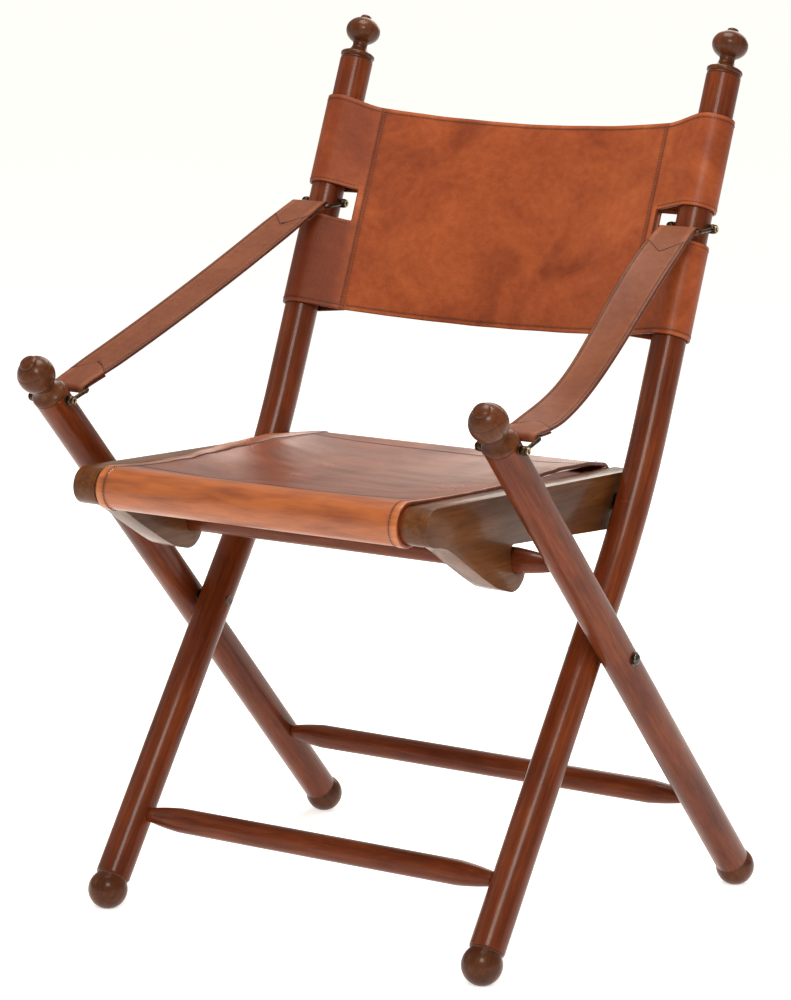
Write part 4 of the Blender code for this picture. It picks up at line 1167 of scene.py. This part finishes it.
def strap_pieces(side, sign):
    """The strap's run and its two looped ends."""
    loop_r = BAIL_WIRE_R + LOOP_CLEAR
    rear = back_pin + BAIL_REACH * Vector((math.cos(BACK_BAIL_TILT), math.sin(BACK_BAIL_TILT)))
    front = arm_pin + BAIL_REACH * Vector((math.cos(ARM_BAIL_TILT), math.sin(ARM_BAIL_TILT)))
    along = (front - rear).normalized()
    up = Vector((along.y, -along.x))
    span = (front - rear).length
    u = np.linspace(-1, 1, 17)
    pointed = POINT_SHORT + (POINT_LONG - POINT_SHORT) * (1 - np.abs(u))
    low_at = SLACK_BIAS[side] / (SLACK_BIAS[side] + 1)
    peak = low_at ** SLACK_BIAS[side] * (1 - low_at)

    def top_line(distance):
        """Side-view place on the strap's run at a distance from the rear bar."""
        share = np.clip(distance / span, 0, 1)
        y = rear.x + (front.x - rear.x) * share + up.x * loop_r
        z = rear.y + (front.y - rear.y) * share + up.y * loop_r
        return y, z - STRAP_SAG[side] * share ** SLACK_BIAS[side] * (1 - share) / peak

    def spread(y):
        """Middle X of the strap at a place along Y."""
        return sign * (BACK_X + (ARM_X - BACK_X) * (y - rear.x) / (front.x - rear.x))

    def half_width(distance):
        """Half the strap's width, which eases out from its narrower ends."""
        ramp = np.clip(np.minimum(distance, span - distance) / 0.060, 0, 1)
        ramp = ramp * ramp * (3 - 2 * ramp)
        return STRAP_END_HALF + (STRAP_HALF - STRAP_END_HALF) * ramp

    rows = 90
    distance = np.array([[pointed[j] + (span - 2 * pointed[j]) * i / rows
                          for j in range(len(u))] for i in range(rows + 1)])
    y, z = top_line(distance)
    roll = np.sin(math.pi * distance / span) * (0.0016 if side == "left" else 0.0022)
    x = spread(y) + u[None, :] * half_width(distance)
    # The slack strap turns a little as it hangs, so that its inner edge is the lower one.
    free = np.clip((distance - POINT_LONG) / (span - 2 * POINT_LONG), 0, 1)
    turned_down = STRAP_TURN[side] * np.sin(math.pi * free ** 1.3) ** 2
    twist = turned_down * (u[None, :] * sign - 1)
    grid = np.stack([x, y, z + roll * (u[None, :] ** 2 - 0.5) + twist], axis=-1)
    side_gap = (1 - np.abs(u))[None, :] * STRAP_HALF * np.ones_like(distance)
    point_gap = np.minimum(distance - pointed[None, :], span - pointed[None, :] - distance)
    seam = np.minimum(np.abs(side_gap - STRAP_STITCH_IN), point_gap + 0.0004)
    thick = np.full(rows + 1, STRAP_THICK)
    flat_u = u[None, :] * STRAP_HALF * np.ones_like(distance) + 0.3 * sign
    run_piece = leather_strip(f"{side}_strap_run", grid, flat_u, distance, seam, side_gap, thick,
                              strap_hide)
    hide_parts(f"{side}_arm_strap")
    blend_from = at(spread(rear.x), rear + along * POINT_LONG)
    blend_to = at(spread(front.x), front - along * POINT_LONG)
    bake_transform(run_piece)
    normal = grid_ways(grid)
    edge_rows, edge_ways = [], []
    for edge_u in (-1 + STRAP_STITCH_IN / STRAP_HALF, 1 - STRAP_STITCH_IN / STRAP_HALF):
        k = np.interp(edge_u, u, np.arange(len(u)))
        j, t = min(int(k), len(u) - 2), k - min(int(k), len(u) - 2)
        edge_rows.append(grid[:, j] * (1 - t) + grid[:, j + 1] * t)
        edge_ways.append(normal[:, j])
    strap_rows.append((f"{side}_strap_edge_stitching", edge_rows, edge_ways, STRAP_THICK / 2,
                       ("back_frame", "arm_frame", blend_from, blend_to)))
    inner_u = slice(1, len(u) - 1)
    strap_rows.append((f"{side}_strap_rear_point_stitching", [grid[0, inner_u]],
                       [normal[0, inner_u]], STRAP_THICK / 2, ("back_frame",)))
    strap_rows.append((f"{side}_strap_front_point_stitching", [grid[-1, inner_u]],
                       [normal[-1, inner_u]], STRAP_THICK / 2, ("arm_frame",)))

    for end, centre, way, body, bail in (
        ("rear", rear, 1, "back_frame", f"{side}_back_bail"),
        ("front", front, -1, "arm_frame", f"{side}_arm_bail"),
    ):
        top_angle = math.degrees(math.atan2(up.y, up.x))
        stack, flat_along, gaps = [], [], []
        for i in range(TAIL_ROWS):
            back = pointed * 0.98 * (1 - i / TAIL_ROWS)
            low_y, low_z = top_line(back if way > 0 else span - back)
            stack.append((low_y - up.x * TAIL_GAP, low_z - up.y * TAIL_GAP))
            flat_along.append(-back - 0.02)
            gaps.append(np.full(len(u), 1.0))
        first = top_angle - way * 180
        for a in np.linspace(first, top_angle, BEND_ROWS + 2)[1:-1]:
            spot = centre + loop_r * Vector((math.cos(math.radians(a)), math.sin(math.radians(a))))
            stack.append((np.full(len(u), spot.x), np.full(len(u), spot.y)))
            flat_along.append(np.full(len(u), (a - first) / 180 * 0.012 - 0.014))
            gaps.append(np.full(len(u), 1.0))
        for i in range(TOP_ROWS):
            ahead = pointed * i / (TOP_ROWS - 1)
            top_y, top_z = top_line(ahead if way > 0 else span - ahead)
            stack.append((top_y, top_z))
            flat_along.append(ahead)
            gaps.append(pointed - ahead + 0.0004)
        y = np.array([np.broadcast_to(pair[0], u.shape) for pair in stack])
        z = np.array([np.broadcast_to(pair[1], u.shape) for pair in stack])
        reach_from = np.abs(y - centre.x) / abs(along.x)
        x = spread(y) + u[None, :] * half_width(reach_from)
        grid = np.stack([x, y, z], axis=-1)
        if way < 0:
            grid = grid[::-1]
        flat_along = np.array(flat_along)
        gaps = np.array(gaps)
        side_gap = (1 - np.abs(u))[None, :] * STRAP_END_HALF * np.ones_like(y)
        thick = np.concatenate([np.full(TAIL_ROWS, TAIL_THICK), np.full(BEND_ROWS, BEND_THICK),
                                np.linspace(BEND_THICK, STRAP_THICK, THINNED_ROWS),
                                np.full(TOP_ROWS - THINNED_ROWS, STRAP_THICK)])
        if way < 0:
            flat_along, gaps, thick = flat_along[::-1], gaps[::-1], thick[::-1]
        flat_u = u[None, :] * STRAP_HALF * np.ones_like(y) + 0.3 * sign
        loop_piece = leather_strip(f"{side}_strap_{end}_loop", grid, flat_u,
                                   flat_along + (0 if way > 0 else 0.5), gaps, side_gap, thick,
                                   strap_hide)
        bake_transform(loop_piece)


for side, sign in SIDES.items():
    strap_pieces(side, sign)


# ---------------------------------------------------------------- stitching
# Every sewn line is a lockstitch in waxed brown thread, 3.2 mm to the stitch, which shows on both
# faces of the hide. The seat and the back are hemmed round; each strap is sewn along both edges.
STITCH_PITCH = 0.0032
STITCH_LENGTH = 0.0024
STITCH_WIDTH = 0.0008

thread, twist_tree, thread_shader = bare_finish("waxed_brown_thread")
twist = add(twist_tree, "ShaderNodeTexNoise", {
    "Vector": add(twist_tree, "ShaderNodeTexCoord").outputs["Object"],
    "Scale": 1600.0, "Detail": 2.0})
thread_colour = add(twist_tree, "ShaderNodeValToRGB", {"Fac": twist.outputs["Fac"]}, stops=[
    (0.35, "#24100a"), (0.65, "#43211a")])
twist_tree.links.new(thread_colour.outputs["Color"], thread_shader.inputs["Base Color"])
thread_bump = add(twist_tree, "ShaderNodeBump", {
    "Height": twist.outputs["Fac"], "Strength": 0.4, "Distance": 0.0002})
twist_tree.links.new(thread_bump.outputs["Normal"], thread_shader.inputs["Normal"])
thread_shader.inputs["Roughness"].default_value = 0.62


def stitch_tree():
    """A tree that lays one stitch after another along lines, flat on the face they belong to."""
    tree = bpy.data.node_groups.new("lockstitch", "GeometryNodeTree")
    face = tree.interface
    face.new_socket("Lines", in_out="INPUT", socket_type="NodeSocketGeometry")
    for name, value in (("Pitch", STITCH_PITCH), ("Length", STITCH_LENGTH),
                        ("Width", STITCH_WIDTH)):
        socket = face.new_socket(name, in_out="INPUT", socket_type="NodeSocketFloat")
        socket.default_value = value
    face.new_socket("Stitches", in_out="OUTPUT", socket_type="NodeSocketGeometry")
    given = add(tree, "NodeGroupInput").outputs
    curve = add(tree, "GeometryNodeMeshToCurve", {"Mesh": given["Lines"]})
    spaced = add(tree, "GeometryNodeResampleCurve", {
        "Curve": curve.outputs[0], "Length": given["Pitch"]}, mode="LENGTH")
    bead = add(tree, "GeometryNodeMeshUVSphere", {"Segments": 6, "Rings": 4, "Radius": 0.5})
    size = add(tree, "ShaderNodeCombineXYZ", {
        "X": given["Length"], "Y": given["Width"], "Z": given["Width"]})
    up = add(tree, "GeometryNodeInputNamedAttribute", {"Name": "up"}, data_type="FLOAT_VECTOR")
    along = add(tree, "GeometryNodeInputTangent")
    turn = add(tree, "FunctionNodeAxesToRotation", {
        0: along.outputs[0], 1: up.outputs["Attribute"]}, primary_axis="X", secondary_axis="Z")
    laid = add(tree, "GeometryNodeInstanceOnPoints", {
        "Points": spaced.outputs[0], "Instance": bead.outputs["Mesh"],
        "Rotation": turn.outputs[0], "Scale": size.outputs[0]})
    real = add(tree, "GeometryNodeRealizeInstances", {"Geometry": laid.outputs[0]})
    smooth = add(tree, "GeometryNodeSetShadeSmooth", {"Geometry": real.outputs[0]})
    finished = add(tree, "GeometryNodeSetMaterial", {
        "Geometry": smooth.outputs[0], "Material": thread})
    add(tree, "NodeGroupOutput", {"Stitches": finished.outputs[0]})
    return tree


lockstitch = stitch_tree()


def sew(name, rows):
    """Stitches along rows of (point, the way the face looks), as one plain mesh."""
    verts, ups, edges = [], [], []
    for row in rows:
        start = len(verts)
        verts += [tuple(point) for point, way in row]
        ups += [tuple(way) for point, way in row]
        edges += [(start + i, start + i + 1) for i in range(len(row) - 1)]
    mesh = bpy.data.meshes.new(name)
    mesh.from_pydata(verts, edges, [])
    data = mesh.attributes.new("up", "FLOAT_VECTOR", "POINT")
    data.data.foreach_set("vector", np.array(ups, np.float32).ravel())
    obj = put(name, mesh)
    step = obj.modifiers.new("lockstitch", "NODES")
    step.node_group = lockstitch
    sizes = {"Pitch": STITCH_PITCH, "Length": STITCH_LENGTH, "Width": STITCH_WIDTH}
    for item in lockstitch.interface.items_tree:
        if item.name in sizes:
            step[item.identifier] = sizes[item.name]
    settle(obj)
    if not obj.data.materials:
        obj.data.materials.append(thread)
    return obj


def both_faces(points, ways, half):
    """The same row on the two faces of a hide, sunk to half a stitch."""
    rows = []
    for face in (1, -1):
        rows.append([(point + face * way * (half + 0.00012), face * way)
                     for point, way in zip(points, ways)])
    return rows


seat_ways = grid_ways(seat_grid)
top_rows = np.where((share > 0) & (share < 1))[0]
wrap_rows = np.arange(4, len(path) - 4)
rows = []
for place in (-seat_half + SEAT_HEM, seat_half - SEAT_HEM):
    j = int(np.argmin(np.abs(seat_columns - place)))
    rows += both_faces(seat_grid[wrap_rows, j], seat_ways[wrap_rows, j], HEM_THICK / 2)
for distance_y in (run_start.x + SEAT_FRONT_SEAM, rear_bar.x - SEAT_REAR_SEAM):
    i = int(top_rows[np.argmin(np.abs(path[top_rows, 0] - distance_y))])
    inside = np.abs(seat_columns) < seat_half - SEAT_HEM
    rows += both_faces(seat_grid[i, inside], seat_ways[i, inside], LEATHER / 2)
seat_stitches = sew("seat_stitching", rows)
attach(seat_stitches, "seat")

back_ways = grid_ways(back_grid)
rows = []
for level in (-hem_line, hem_line):
    j = int(np.argmin(np.abs(levels - level)))
    rows += both_faces(back_grid[2:-2, j], back_ways[2:-2, j], LEATHER / 2)
for seam_x in (inner, inner - SECOND_ROW):
    for sign in (-1, 1):
        on_panel = np.where(np.abs(plan[:, 0]) <= inner + 1e-6)[0]
        on_panel = on_panel[(on_panel > len(tail_run)) & (on_panel < len(plan) - len(tail_run))]
        i = int(on_panel[np.argmin(np.abs(plan[on_panel, 0] - sign * seam_x))])
        rows += both_faces(back_grid[i, 1:-1], back_ways[i, 1:-1], LEATHER / 2)
window_rows = np.where(window_cells)[0]
for sign in (-1, 1):
    chosen = window_rows[plan[window_rows, 0] * sign > 0][1:-1]
    for level in (pin_height - WINDOW_HALF - SLING_HEM, pin_height + WINDOW_HALF + SLING_HEM):
        j = int(np.argmin(np.abs(levels - level)))
        rows += both_faces(back_grid[chosen, j], back_ways[chosen, j], LEATHER / 2)
back_stitches = sew("back_stitching", rows)
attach(back_stitches, "back_frame")

for name, points, ways, half, ends in strap_rows:
    strap_stitches = sew(name, [row for p, w in zip(points, ways) for row in both_faces(p, w, half)])
    if len(ends) == 1:
        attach(strap_stitches, ends[0])
    else:
        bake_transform(strap_stitches)
